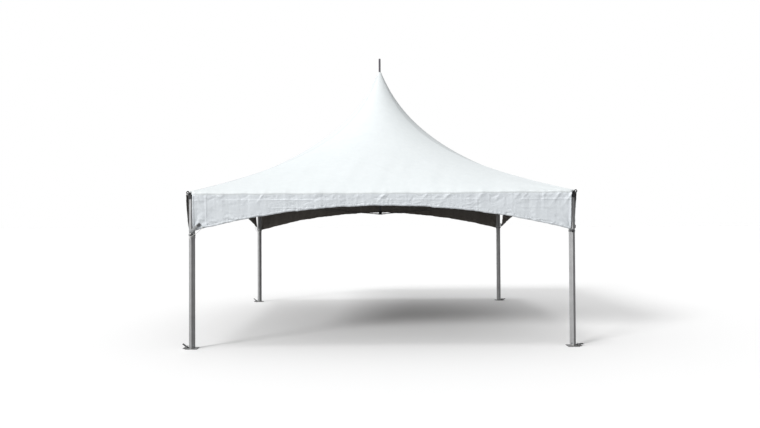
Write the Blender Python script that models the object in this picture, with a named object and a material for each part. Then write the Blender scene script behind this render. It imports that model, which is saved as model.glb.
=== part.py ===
"""High-peak frame marquee, 6.1 m square, modelled piece by piece.

Four aluminium legs stand diagonally on steel base plates. Welded corner sleeves join them to four
eave rails. Four crossed cables carry a mast in the middle of the room, and the mast pushes the
cloth top up to its peak. The cloth is four gores that meet on the hips, with a hanging valance on
each side, open at the corners, where a strap ties it to the leg.

Metres, +Z up. The origin is on the ground in the middle of the tent, and the front faces -Y.
"""
import math

import bmesh
import bpy
import numpy as np
from mathutils import Matrix, Vector

# Running gap between pieces that touch
GAP = 0.0003

# Plan and heights
LEG_CENTRE = 2.99
EAVE_HALF = 3.075
EAVE_HEIGHT = 2.44
PEAK_HEIGHT = 5.105

# Cloth top: a flaring profile, round near the peak and square at the eaves
CLOTH = 0.005
FLARE = 0.10
ROUNDNESS = 0.90
ROUND_POWER = 1.75
PEAK_U = 0.0070
GORE_ROWS = 15
GORE_COLUMNS = 9
CORNER_CUT = 2.965

# Valances: arched lower edge, ends short of the leg, pulled in a little at the bottom
VALANCE_HALF = 2.965
ARCH_CROWN = 2.222
ARCH_RISE = 0.382
ARCH_HALF = 2.95
VALANCE_DROP = 0.61
VALANCE_PULL = 0.020
VALANCE_COLUMNS = 16

# Legs: square tube set corner-on to the sides, with a shallow groove down each face
LEG_SIDE = 0.072
LEG_WALL = 0.004
LEG_ROUND = 0.005
GROOVE_HALF = 0.006
GROOVE_DEEP = 0.002

# Corner sleeve over the leg top, with a stub into each eave rail
SLEEVE_SIDE = 0.084
SLEEVE_BOTTOM = 2.34
SLEEVE_CAP = 0.006
STUB_LENGTH = 0.16

# Eave rails
RAIL_WIDE = 0.05
RAIL_HIGH = 0.08
RAIL_WALL = 0.003

# Eye bolt at each corner tip, its ring upright on the diagonal
EYE_RING = 0.022
EYE_BAR = 0.007
EYE_HEIGHT = 2.424
EYE_RISE = 0.014
EYE_FLANGE = 0.018
EYE_FLANGE_THICK = 0.005
EYE_SUNK = 0.004
EYE_STEPS = 16
BAR_STEPS = 8

# Base plates with a spigot in the leg and an outboard ear for the anchor ratchet
PLATE_HALF = 0.09
PLATE_THICK = 0.008
EAR_REACH = 0.14
EAR_HALF = 0.034
SPIGOT_HIGH = 0.07

# Anchor ratchet on the ear; its handle stands up on the left legs and lies down on the right ones
RATCHET_START = 0.056
RATCHET_END = 0.118
CHEEK_HIGH = 0.034
CHEEK_LOW = 0.013
CHEEK_CROWN = 0.013
CHEEK_THICK = 0.005
CHEEK_INSET = 0.002
RATCHET_HALF = 0.026
PIVOT_SHARE = 0.55
SPINDLE_RADIUS = 0.009
SPINDLE_OVERHANG = 0.006
HANDLE_REACH = 0.080
HANDLE_HALF = 0.015
HANDLE_UP = 40
HANDLE_DOWN = 6
PAWL_REACH = 0.040
PAWL_HALF = 0.009
PAWL_LEAN = 146
LEVER_THICK = 0.009

# Mast, its foot, its peak cone and the spike above the cloth
MAST_RADIUS = 0.025
MAST_WALL = 0.003
FOOT_BOTTOM = 2.118
FOOT_HIGH = 0.07
FOOT_HALF = 0.023
FOOT_PLUG = 0.10
PLUG_ROOT = 0.01
CONE_BOTTOM = 4.90
CONE_EDGE = 0.01
CONE_STEPS = 4
SPIKE_RADIUS = 0.020
SPIKE_TOP = 5.31
SPIKE_DEPTH = 0.12
SPIKE_TIP = 0.014
SPIKE_BEVEL = 0.008
SHOULDER = 0.002

# Crossed cables, from the mast foot to the sleeves
CABLE_RADIUS = 0.006
TERMINAL_RADIUS = 0.012
TERMINAL_LENGTH = 0.11
TERMINAL_TAPER = 0.03
CABLE_AT_FOOT = 2.131
CABLE_AT_SLEEVE = 2.385

# Corner ties round the legs; they hang lower on the left legs
TIE_SIDE = 0.086
TIE_LEVEL = {"front_left": 1.765, "front_right": 1.800, "back_right": 1.800, "back_left": 1.765}
TIE_HIGH = 0.025
TIE_WIDE = 0.036
TIE_THICK = 0.004
TIE_ROUND = 0.006
TIE_HEAD = 2.942
TIE_FOOT = (0.021, 0.045)

SEGMENTS = 20

CLOTH_WHITE = ((0.86, 0.89, 0.90, 1.0), 0.45, 0.0)
ALUMINIUM = ((0.60, 0.61, 0.62, 1.0), 0.38, 1.0)
GALVANISED = ((0.34, 0.35, 0.35, 1.0), 0.50, 1.0)
DARK_STEEL = ((0.10, 0.10, 0.10, 1.0), 0.50, 0.8)
CABLE_STEEL = ((0.42, 0.42, 0.42, 1.0), 0.40, 1.0)
WEBBING = ((0.55, 0.56, 0.56, 1.0), 0.85, 0.0)

CORNERS = {
    "front_left": (-1, -1),
    "front_right": (1, -1),
    "back_right": (1, 1),
    "back_left": (-1, 1),
}
SIDES = {"front": 0, "right": 1, "back": 2, "left": 3}


def material(name, finish):
    """A Principled material from a colour, a roughness and a metallic value."""
    colour, roughness, metallic = finish
    made = bpy.data.materials.get(name)
    if made is None:
        made = bpy.data.materials.new(name)
        made.use_nodes = True
        shader = made.node_tree.nodes["Principled BSDF"]
        shader.inputs["Base Color"].default_value = colour
        shader.inputs["Roughness"].default_value = roughness
        shader.inputs["Metallic"].default_value = metallic
    return made


def add_object(name, bm, skin, smooth=False):
    """Turn a bmesh into a named object in the scene."""
    bmesh.ops.recalc_face_normals(bm, faces=bm.faces)
    mesh = bpy.data.meshes.new(name)
    bm.to_mesh(mesh)
    bm.free()
    mesh.materials.append(skin)
    if smooth:
        mesh.shade_smooth()
        mesh.set_sharp_from_angle(angle=math.radians(35))
    made = bpy.data.objects.new(name, mesh)
    bpy.context.scene.collection.objects.link(made)
    return made


def quarter_turns(side):
    """The turn that carries the front (-Y) to another side."""
    return Matrix.Rotation(math.radians(90 * SIDES[side]), 4, "Z")


def corner_turn(corner):
    """The turn that carries +X onto the outward diagonal of a corner."""
    x, y = CORNERS[corner]
    return Matrix.Rotation(math.atan2(y, x), 4, "Z")


def box(bm, low, high, turn=Matrix.Identity(4)):
    """An upright box between two corners, then turned."""
    low, high = Vector(low), Vector(high)
    place = turn @ Matrix.Translation((low + high) / 2) @ Matrix.Diagonal((*(high - low), 1))
    bmesh.ops.create_cube(bm, size=1.0, matrix=place)


def prism(bm, outline, low, high, place=Matrix.Identity(4)):
    """A closed plan outline extruded from one height to another."""
    ring = [bm.verts.new(place @ Vector((x, y, low))) for x, y in outline]
    face = bm.faces.new(ring)
    lifted = bmesh.ops.extrude_face_region(bm, geom=[face])["geom"]
    raised = [item for item in lifted if isinstance(item, bmesh.types.BMVert)]
    bmesh.ops.translate(bm, verts=raised, vec=(place.to_3x3() @ Vector((0, 0, high - low))))


def lathe(bm, profile, place=Matrix.Identity(4), segments=SEGMENTS):
    """A turned solid from (radius, height) points; a point on the axis closes that end."""
    rings = []
    for radius, height in profile:
        if radius == 0:
            rings.append([bm.verts.new(place @ Vector((0, 0, height)))])
            continue
        turns = [2 * math.pi * step / segments for step in range(segments)]
        rings.append([bm.verts.new(place @ Vector((radius * math.cos(a), radius * math.sin(a), height)))
                      for a in turns])
    for lower, upper in zip(rings, rings[1:]):
        for step in range(segments):
            after = (step + 1) % segments
            if len(lower) == 1:
                bm.faces.new((lower[0], upper[after], upper[step]))
            elif len(upper) == 1:
                bm.faces.new((lower[step], lower[after], upper[0]))
            else:
                bm.faces.new((lower[step], lower[after], upper[after], upper[step]))


def hollow(bm, outer, inner, low, high, place=Matrix.Identity(4)):
    """An open-ended tube between two outlines with the same number of points."""
    def ring(outline, height):
        return [bm.verts.new(place @ Vector((x, y, height))) for x, y in outline]

    loops = [ring(outer, low), ring(outer, high), ring(inner, high), ring(inner, low)]
    count = len(outer)
    for first, second in zip(loops, loops[1:] + loops[:1]):
        for step in range(count):
            after = (step + 1) % count
            bm.faces.new((first[step], first[after], second[after], second[step]))


def square(side, rounding=0.0, arc=2, groove=0.0, deep=0.0):
    """A square outline, its corners rounded in a few steps, with a groove in each face if asked."""
    half = side / 2
    if rounding == 0:
        return [(half, half), (-half, half), (-half, -half), (half, -half)]
    dip = [Vector((groove, half)), Vector((groove / 2, half - deep)),
           Vector((-groove / 2, half - deep)), Vector((-groove, half))] if groove else []
    outline = []
    for quarter in range(4):
        centre = math.radians(45 + 90 * quarter)
        cx = math.copysign(half - rounding, math.cos(centre))
        cy = math.copysign(half - rounding, math.sin(centre))
        for step in range(arc + 1):
            angle = math.radians(90 * quarter + 90 * step / arc)
            outline.append((cx + rounding * math.cos(angle), cy + rounding * math.sin(angle)))
        outline += [tuple(Matrix.Rotation(math.radians(90 * quarter), 2) @ point) for point in dip]
    return outline


def circle(radius, segments=SEGMENTS):
    """A round outline."""
    turns = [2 * math.pi * step / segments for step in range(segments)]
    return [(radius * math.cos(a), radius * math.sin(a)) for a in turns]


def unite(name, parts, skin, smooth=False):
    """Join overlapping closed meshes into one solid."""
    whole, *others = [add_object(f"{name}_blank_{i}", bm, skin) for i, bm in enumerate(parts)]
    for other in others:
        join = whole.modifiers.new("join", "BOOLEAN")
        join.operation = "UNION"
        join.solver = "EXACT"
        join.object = other
    seen = whole.evaluated_get(bpy.context.evaluated_depsgraph_get())
    bm = bmesh.new()
    bm.from_mesh(seen.to_mesh())
    seen.to_mesh_clear()
    for blank in (whole, *others):
        bpy.data.objects.remove(blank)
    return add_object(name, bm, skin, smooth)


def started(build, *values):
    """A fresh bmesh filled by one of the shape functions."""
    bm = bmesh.new()
    build(bm, *values)
    return bm


def profile_height(u):
    """Height of the cloth at a share u of the way from the peak to the eave, on a log curve."""
    span = math.log((1 + FLARE) / FLARE)
    return EAVE_HEIGHT + (PEAK_HEIGHT - EAVE_HEIGHT) * math.log((1 + FLARE) / (u + FLARE)) / span


def gore_point(u, s, depth):
    """A point of the front gore, s from -1 to 1 between its hips, sunk by depth under the cloth."""
    half = EAVE_HALF * u
    share = ROUNDNESS * (1 - u**ROUND_POWER)
    angle = s * math.pi / 4
    across = half * (s * (1 - share) + math.sqrt(2) * math.sin(angle) * share)
    out = half * ((1 - share) + math.sqrt(2) * math.cos(angle) * share)
    radius = math.hypot(across, out)
    step = 1e-4
    fall = (profile_height(u + step) - profile_height(u)) / (step * radius / max(u, step))
    tilt = math.hypot(1, fall)
    radial = 1 + depth * fall / tilt / radius
    return Vector((across * radial, -out * radial, profile_height(u) - depth / tilt))


def cloth_height(reach, depth):
    """Height under the cloth, at a depth, over a point straight out towards the middle of an eave."""
    return gore_point(reach / EAVE_HALF, 0.0, depth).z


def gore_rows():
    """Row shares, closer together near the peak, where the profile turns fastest."""
    steps = np.linspace(0, 1, GORE_ROWS)
    return [PEAK_U + (1 - PEAK_U) * step**1.8 for step in steps]


def gore_columns():
    """Column shares between the hips, with one at each end of the cut corner."""
    edge = CORNER_CUT / EAVE_HALF
    return [-1.0, *np.linspace(-edge, edge, GORE_COLUMNS - 2), 1.0]


def gore_layer(bm, depth):
    """One face of the front gore as rows of vertices; the eave corners are cut across."""
    tip = (CORNER_CUT + EAVE_HALF) / 2 / EAVE_HALF
    layer = []
    for u in gore_rows():
        row = []
        for s in gore_columns():
            row.append(gore_point(tip if u == 1 and abs(s) == 1 else u, s, depth))
        layer.append([bm.verts.new(point) for point in row])
    return layer


def shell(bm, outer, inner):
    """A closed thin solid between two like grids of vertices."""
    rows, columns = len(outer), len(outer[0])
    for i in range(rows - 1):
        for j in range(columns - 1):
            bm.faces.new((outer[i][j], outer[i][j + 1], outer[i + 1][j + 1], outer[i + 1][j]))
            bm.faces.new((inner[i][j], inner[i + 1][j], inner[i + 1][j + 1], inner[i][j + 1]))
    for j in range(columns - 1):
        bm.faces.new((outer[0][j], inner[0][j], inner[0][j + 1], outer[0][j + 1]))
        bm.faces.new((outer[-1][j], outer[-1][j + 1], inner[-1][j + 1], inner[-1][j]))
    for i in range(rows - 1):
        bm.faces.new((outer[i][0], outer[i + 1][0], inner[i + 1][0], inner[i][0]))
        bm.faces.new((outer[i][-1], inner[i][-1], inner[i + 1][-1], outer[i + 1][-1]))


def make_roof_panels():
    """Four gores of the cloth top, a hair apart along the hips."""
    for side in SIDES:
        bm = bmesh.new()
        shell(bm, gore_layer(bm, 0.0), gore_layer(bm, CLOTH))
        apart = Matrix.Translation((0, -GAP * math.sqrt(0.5), 0))
        bmesh.ops.transform(bm, matrix=quarter_turns(side) @ apart, verts=bm.verts)
        add_object(f"roof_panel_{side}", bm, material("roof_cloth", CLOTH_WHITE), smooth=True)


def arch_height(x):
    """Lower edge of a valance, an arch that drops towards the legs."""
    return ARCH_CROWN - ARCH_RISE * (x / ARCH_HALF) ** 2


def valance_columns():
    """Where a valance's columns stand, from one corner slot to the other."""
    return np.linspace(-VALANCE_HALF, VALANCE_HALF, VALANCE_COLUMNS + 1)


def hem_height(x):
    """The lower edge as built, straight between the columns."""
    columns = valance_columns()
    return float(np.interp(x, columns, arch_height(columns)))


def valance_top():
    """The valances hang from just under the edge of the roof."""
    return gore_point(1.0, 0.0, CLOTH).z - GAP


def valance_face(z):
    """How far out the valance's outer face stands at a height; it is pulled in towards the hem."""
    return EAVE_HALF - VALANCE_PULL * (valance_top() - z) / VALANCE_DROP


def make_valances():
    """Four hanging valances under the eaves."""
    top = valance_top()
    for side in SIDES:
        bm = bmesh.new()
        layers = []
        for depth in (0.0, CLOTH):
            rows = []
            for share in (0.0, 0.5, 1.0):
                row = []
                for x in valance_columns():
                    z = top + share * (arch_height(x) - top)
                    row.append(bm.verts.new((x, depth - valance_face(z), z)))
                rows.append(row)
            layers.append(rows)
        shell(bm, *layers)
        bmesh.ops.transform(bm, matrix=quarter_turns(side), verts=bm.verts)
        add_object(f"valance_{side}", bm, material("valance_cloth", CLOTH_WHITE), smooth=True)


def leg_place(corner):
    """The frame of a corner: origin on the ground under the leg, +X outward on the diagonal."""
    x, y = CORNERS[corner]
    return Matrix.Translation((x * LEG_CENTRE, y * LEG_CENTRE, 0)) @ corner_turn(corner)


def outboard_place(corner):
    """The frame of a base plate: origin under the leg, +X straight out to the side."""
    x, y = CORNERS[corner]
    turn = Matrix.Rotation(0 if x > 0 else math.pi, 4, "Z")
    return Matrix.Translation((x * LEG_CENTRE, y * LEG_CENTRE, 0)) @ turn


def sleeve_top():
    """The sleeve ends just under the cloth, over its own outermost edge."""
    return cloth_height(LEG_CENTRE + SLEEVE_SIDE / math.sqrt(2), CLOTH + GAP)


def rail_top():
    """The rails carry the cloth along their outer top edge."""
    return cloth_height(LEG_CENTRE + RAIL_WIDE / 2, CLOTH + GAP)


def make_legs():
    """Four square tubes, corner-on, from the base plate to the sleeve's cap."""
    top = sleeve_top() - SLEEVE_CAP - GAP
    for corner in CORNERS:
        bm = bmesh.new()
        outer = square(LEG_SIDE, LEG_ROUND, groove=GROOVE_HALF, deep=GROOVE_DEEP)
        inner = square(LEG_SIDE - 2 * LEG_WALL, LEG_ROUND - LEG_WALL, groove=GROOVE_HALF)
        hollow(bm, outer, inner, PLATE_THICK + GAP, top, leg_place(corner))
        add_object(f"leg_{corner}", bm, material("leg_aluminium", ALUMINIUM))


def make_corner_fittings():
    """Welded sleeves over the leg tops, each with two stubs into the eave rails."""
    skin = material("fitting_steel", GALVANISED)
    top = sleeve_top()
    stub_top = rail_top() - RAIL_WALL - GAP
    stub_low = rail_top() - RAIL_HIGH + RAIL_WALL + GAP
    half = RAIL_WIDE / 2 - RAIL_WALL - GAP
    notch = (SLEEVE_SIDE + LEG_SIDE) / 2 / math.sqrt(2)
    reach = notch + STUB_LENGTH
    for corner, (x, y) in CORNERS.items():
        sleeve = bmesh.new()
        place = leg_place(corner)
        bore = square(LEG_SIDE + 2 * GAP)
        hollow(sleeve, square(SLEEVE_SIDE), bore, SLEEVE_BOTTOM, top - SLEEVE_CAP / 2, place)
        cap = started(prism, square(SLEEVE_SIDE), top - SLEEVE_CAP, top, place)
        stubs = []
        for turn in ((-x, 0), (0, -y)):
            angle = math.atan2(turn[1], turn[0])
            ahead = Matrix.Translation((x * LEG_CENTRE, y * LEG_CENTRE, 0)) @ Matrix.Rotation(angle, 4, "Z")
            outline = [(notch, 0), (notch - half, -half), (reach, -half), (reach, half), (notch - half, half)]
            stubs.append(started(prism, outline, stub_low, min(stub_top, top - SLEEVE_CAP / 4), ahead))
        unite(f"corner_fitting_{corner}", [sleeve, cap, *stubs], skin)


def make_eave_rails():
    """Four hollow rails, butted against the edges of the sleeves."""
    reach = LEG_CENTRE - SLEEVE_SIDE / math.sqrt(2) - GAP
    top = rail_top()
    for side in SIDES:
        bm = bmesh.new()
        outer = [(x * RAIL_WIDE / 2, y * RAIL_HIGH / 2) for x, y in ((1, 1), (-1, 1), (-1, -1), (1, -1))]
        wide = RAIL_WIDE / 2 - RAIL_WALL
        high = RAIL_HIGH / 2 - RAIL_WALL
        inner = [(x * wide, y * high) for x, y in ((1, 1), (-1, 1), (-1, -1), (1, -1))]
        along = Matrix.Translation((0, -LEG_CENTRE, top - RAIL_HIGH / 2)) @ Matrix(
            ((0, 0, 1, 0), (1, 0, 0, 0), (0, 1, 0, 0), (0, 0, 0, 1)))
        hollow(bm, outer, inner, -reach, reach, quarter_turns(side) @ along)
        add_object(f"eave_rail_{side}", bm, material("rail_aluminium", ALUMINIUM))


def make_corner_eyes():
    """An eye bolt on the outward face of each sleeve, just outside the tip of the cloth."""
    face = SLEEVE_SIDE / 2 + GAP
    reach = EYE_FLANGE_THICK - EYE_SUNK + EYE_RING + EYE_BAR
    for corner in CORNERS:
        out = leg_place(corner) @ Matrix.Translation((face, 0, EYE_HEIGHT))
        lying = out @ Matrix.Rotation(math.radians(90), 4, "Y")
        flange = started(lathe, [(0, 0), (EYE_FLANGE, 0), (EYE_FLANGE, EYE_FLANGE_THICK),
                                 (0, EYE_FLANGE_THICK)], lying, EYE_STEPS)
        eye = bmesh.new()
        rings = []
        for step in range(EYE_STEPS):
            angle = 2 * math.pi * step / EYE_STEPS
            outward = Vector((math.cos(angle), 0, math.sin(angle)))
            centre = Vector((reach, 0, EYE_RISE)) + EYE_RING * outward
            around = [2 * math.pi * k / BAR_STEPS for k in range(BAR_STEPS)]
            rings.append([eye.verts.new(out @ (centre + EYE_BAR * (outward * math.cos(a)
                                                                   + Vector((0, math.sin(a), 0)))))
                          for a in around])
        for ring, after in zip(rings, rings[1:] + rings[:1]):
            for k in range(BAR_STEPS):
                eye.faces.new((ring[k], ring[(k + 1) % BAR_STEPS], after[(k + 1) % BAR_STEPS], after[k]))
        unite(f"corner_eye_{corner}", [flange, eye], material("eye_steel", DARK_STEEL), smooth=True)


def make_base_plates():
    """Steel plates with an outboard ear and a spigot inside the leg."""
    for corner in CORNERS:
        plate = bmesh.new()
        outline = [(-PLATE_HALF, -PLATE_HALF), (PLATE_HALF, -PLATE_HALF), (PLATE_HALF, -EAR_HALF),
                   (EAR_REACH, -EAR_HALF), (EAR_REACH, EAR_HALF), (PLATE_HALF, EAR_HALF),
                   (PLATE_HALF, PLATE_HALF), (-PLATE_HALF, PLATE_HALF)]
        prism(plate, outline, 0.0, PLATE_THICK, outboard_place(corner))
        inside = square(LEG_SIDE - 2 * LEG_WALL - 2 * GAP, 0.002, 1)
        spigot = started(prism, inside, PLATE_THICK / 2, PLATE_THICK + SPIGOT_HIGH, leg_place(corner))
        unite(f"base_plate_{corner}", [plate, spigot], material("plate_steel", GALVANISED))


def make_anchor_ratchets():
    """A two-cheeked ratchet on each ear, with its spindle, its handle and its pawl."""
    floor = PLATE_THICK + GAP
    pivot = Vector(((RATCHET_START + RATCHET_END) / 2, 0, floor + CHEEK_HIGH * PIVOT_SHARE))
    for corner, (x, _) in CORNERS.items():
        handle = HANDLE_DOWN if x > 0 else HANDLE_UP
        place = outboard_place(corner)
        base = bmesh.new()
        box(base, (RATCHET_START, -RATCHET_HALF, floor), (RATCHET_END, RATCHET_HALF, floor + CHEEK_THICK),
            place)
        sunk = floor + CHEEK_THICK / 2
        start, end = RATCHET_START + CHEEK_INSET, RATCHET_END - CHEEK_INSET
        parts = [base]
        for side in (-1, 1):
            cheek = bmesh.new()
            outline = [(start, sunk), (end, sunk), (end, floor + CHEEK_LOW),
                       (pivot.x + CHEEK_CROWN, floor + CHEEK_HIGH), (pivot.x - CHEEK_CROWN, floor + CHEEK_HIGH),
                       (start, floor + CHEEK_LOW)]
            upright = place @ Matrix(((1, 0, 0, 0), (0, 0, -1, 0), (0, 1, 0, 0), (0, 0, 0, 1)))
            near = side * (RATCHET_HALF - CHEEK_THICK / 2 - CHEEK_INSET)
            prism(cheek, outline, near - CHEEK_THICK / 2, near + CHEEK_THICK / 2, upright)
            parts.append(cheek)
        spindle = bmesh.new()
        across = place @ Matrix.Translation(pivot) @ Matrix.Rotation(math.radians(90), 4, "X")
        half = RATCHET_HALF + SPINDLE_OVERHANG
        lathe(spindle, [(0, -half), (SPINDLE_RADIUS, -half), (SPINDLE_RADIUS, half), (0, half)], across, 12)
        parts.append(spindle)
        for lean, reach, wide in ((handle, HANDLE_REACH, HANDLE_HALF), (PAWL_LEAN, PAWL_REACH, PAWL_HALF)):
            lever = bmesh.new()
            raised = place @ Matrix.Translation(pivot) @ Matrix.Rotation(math.radians(-lean), 4, "Y")
            box(lever, (0, -wide, -LEVER_THICK / 2), (reach, wide, LEVER_THICK / 2), raised)
            parts.append(lever)
        unite(f"anchor_ratchet_{corner}", parts, material("ratchet_steel", DARK_STEEL))


def make_mast():
    """The hanging mast with its foot block, the cone under the peak and the spike above it."""
    foot_top = FOOT_BOTTOM + FOOT_HIGH
    bore = MAST_RADIUS - MAST_WALL
    tube = bmesh.new()
    hollow(tube, circle(MAST_RADIUS), circle(bore), foot_top + GAP, CONE_BOTTOM)
    add_object("mast", tube, material("mast_aluminium", ALUMINIUM), smooth=True)

    diagonal = Matrix.Rotation(math.radians(45), 4, "Z")
    block = started(prism, square(2 * FOOT_HALF), FOOT_BOTTOM, foot_top, diagonal)
    plug = bmesh.new()
    lathe(plug, [(0, foot_top - PLUG_ROOT), (bore - GAP, foot_top - PLUG_ROOT),
                 (bore - GAP, foot_top + FOOT_PLUG), (0, foot_top + FOOT_PLUG)])
    unite("mast_foot", [block, plug], material("foot_steel", DARK_STEEL), smooth=True)

    spike = bmesh.new()
    lathe(spike, [(0, CONE_BOTTOM - SPIKE_DEPTH), (bore - GAP, CONE_BOTTOM - SPIKE_DEPTH),
                  (bore - GAP, CONE_BOTTOM - 2 * SHOULDER), (SPIKE_RADIUS, CONE_BOTTOM - SHOULDER),
                  (SPIKE_RADIUS, SPIKE_TOP - SPIKE_BEVEL), (SPIKE_TIP, SPIKE_TOP), (0, SPIKE_TOP)])
    add_object("mast_spike", spike, material("spike_aluminium", ALUMINIUM), smooth=True)
    make_peak_cone()


def make_peak_cone():
    """A cone on the mast top that spreads the cloth, shaped like the underside of the cloth."""
    depth = CLOTH + 1.5 * GAP
    widest = PEAK_U
    while gore_point(widest, 0.0, depth).z > CONE_BOTTOM + CONE_EDGE:
        widest += PEAK_U / 10
    rows = np.linspace(PEAK_U, widest, CONE_STEPS)
    around = [(side, s) for side in SIDES for s in np.linspace(-1, 1, CONE_STEPS + 1)[:-1]]
    bm = bmesh.new()
    rings = []
    for u in rows:
        rings.append([quarter_turns(side) @ gore_point(u, s, depth) for side, s in around])
    rings.append([Vector((point.x, point.y, CONE_BOTTOM + GAP)) for point in rings[-1]])
    hole = [Vector((point.x, point.y, 0)).normalized() * (SPIKE_RADIUS + 2 * GAP) for point in rings[0]]
    rings.append([Vector((point.x, point.y, CONE_BOTTOM + GAP)) for point in hole])
    rings.append([Vector((point.x, point.y, rings[0][0].z)) for point in hole])
    verts = [[bm.verts.new(point) for point in ring] for ring in rings]
    count = len(around)
    for upper, lower in zip(verts, verts[1:] + verts[:1]):
        for step in range(count):
            after = (step + 1) % count
            bm.faces.new((upper[step], lower[step], lower[after], upper[after]))
    add_object("peak_cone", bm, material("cone_aluminium", ALUMINIUM), smooth=True)


def make_cross_cables():
    """Four taut cables with swaged ends, from the mast foot to the inner faces of the sleeves."""
    near = FOOT_HALF + GAP
    far = LEG_CENTRE * math.sqrt(2) - SLEEVE_SIDE / 2 - GAP
    for corner in CORNERS:
        start = Vector((near, 0, CABLE_AT_FOOT))
        end = Vector((far, 0, CABLE_AT_SLEEVE))
        run = end - start
        lean = TERMINAL_RADIUS * run.z / run.x
        length = run.length - 2 * lean
        direction = run.normalized()
        place = (corner_turn(corner) @ Matrix.Translation(start + direction * lean)
                 @ Vector((0, 0, 1)).rotation_difference(direction).to_matrix().to_4x4())
        waist = TERMINAL_LENGTH + TERMINAL_TAPER
        bm = bmesh.new()
        lathe(bm, [(0, 0), (TERMINAL_RADIUS, 0), (TERMINAL_RADIUS, TERMINAL_LENGTH),
                   (CABLE_RADIUS, waist), (CABLE_RADIUS, length / 2), (CABLE_RADIUS, length - waist),
                   (TERMINAL_RADIUS, length - TERMINAL_LENGTH), (TERMINAL_RADIUS, length), (0, length)],
              place, 12)
        add_object(f"cross_cable_{corner}", bm, material("cable_steel", CABLE_STEEL), smooth=True)


def tie_arm(corner, swap):
    """One arm of a corner tie, a tapered prism from the band up to the hem of a valance."""
    x, y = CORNERS[corner]
    near, far = TIE_FOOT
    low, high = TIE_LEVEL[corner] + TIE_THICK, TIE_LEVEL[corner] + TIE_HIGH - TIE_THICK
    band = TIE_SIDE / math.sqrt(2)
    inner = (band + LEG_SIDE / math.sqrt(2)) / 2
    foot = [(LEG_CENTRE - side, LEG_CENTRE + edge - side)
            for side in (near, far) for edge in (inner, band + TIE_THICK)]
    points = [(a, b, z) for a, b in foot for z in (low, high)]
    for a in (TIE_HEAD - TIE_WIDE / 2, TIE_HEAD + TIE_WIDE / 2):
        z = hem_height(a) - GAP
        points += [(a, valance_face(z), z), (a, valance_face(z) - TIE_THICK, z)]
    arm = bmesh.new()
    corners = []
    for a, b, z in points:
        a, b = (b, a) if swap else (a, b)
        corners.append(arm.verts.new((x * a, y * b, z)))
    made = bmesh.ops.convex_hull(arm, input=corners)
    spare = {item for item in made["geom_interior"] + made["geom_unused"]
             if isinstance(item, bmesh.types.BMVert)}
    bmesh.ops.delete(arm, geom=list(spare), context="VERTS")
    return arm


def make_corner_ties():
    """A band round each leg, with an arm up to the foot of each valance."""
    for corner in CORNERS:
        band = bmesh.new()
        low = TIE_LEVEL[corner]
        hollow(band, square(TIE_SIDE, TIE_ROUND), square(LEG_SIDE + 2 * GAP, LEG_ROUND + GAP),
               low, low + TIE_HIGH, leg_place(corner))
        arms = [tie_arm(corner, swap) for swap in (False, True)]
        unite(f"corner_tie_{corner}", [band, *arms], material("tie_webbing", WEBBING))


for old in list(bpy.data.objects):
    bpy.data.objects.remove(old)

make_base_plates()
make_anchor_ratchets()
make_legs()
make_corner_fittings()
make_eave_rails()
make_corner_eyes()
make_mast()
make_cross_cables()
make_roof_panels()
make_valances()
make_corner_ties()
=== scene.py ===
"""High-peak frame marquee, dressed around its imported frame.

Metres, +Z up. The origin is on the ground in the middle of the tent, and the front faces -Y.
"""
import math

import bmesh
import bpy
import numpy as np
from mathutils import Matrix, Vector


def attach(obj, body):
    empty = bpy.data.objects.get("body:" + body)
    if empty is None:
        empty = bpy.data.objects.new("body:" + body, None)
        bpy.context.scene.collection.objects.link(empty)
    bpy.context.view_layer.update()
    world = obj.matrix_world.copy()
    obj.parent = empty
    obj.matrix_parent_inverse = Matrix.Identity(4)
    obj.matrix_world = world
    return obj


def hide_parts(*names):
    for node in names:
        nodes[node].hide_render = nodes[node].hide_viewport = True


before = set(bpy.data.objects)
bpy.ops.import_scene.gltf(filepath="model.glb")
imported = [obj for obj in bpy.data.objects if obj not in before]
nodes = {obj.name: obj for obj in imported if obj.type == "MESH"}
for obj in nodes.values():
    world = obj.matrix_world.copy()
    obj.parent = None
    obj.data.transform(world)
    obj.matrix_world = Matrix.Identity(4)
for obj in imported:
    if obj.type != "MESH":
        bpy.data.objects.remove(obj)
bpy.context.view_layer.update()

scene = bpy.context.scene


# The view. The camera stands ten metres before the front eave, at about eye height and a step left
# of the middle, and looks almost level.
VIEW_FROM = (-0.1442, -13.1004, 1.9569)
VIEW_RIGHT, VIEW_UP, VIEW_ROLL = 0.601, 0.765, 0.29  # degrees
LENS = 30.41
VIEW_END = 1000.0


def shift(x, y, z):
    """A move by x, y and z."""
    return Matrix.Translation((x, y, z))


def spin(degrees, axis):
    """A turn about an axis."""
    return Matrix.Rotation(math.radians(degrees), 4, axis)


camera = bpy.data.cameras.new("view")
camera.lens = LENS
camera.clip_end = VIEW_END
view = bpy.data.objects.new("view", camera)
scene.collection.objects.link(view)
view.matrix_world = (shift(*VIEW_FROM) @ spin(-VIEW_RIGHT, "Z") @ spin(90 + VIEW_UP, "X")
                     @ spin(-VIEW_ROLL, "Z"))
scene.camera = view


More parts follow.
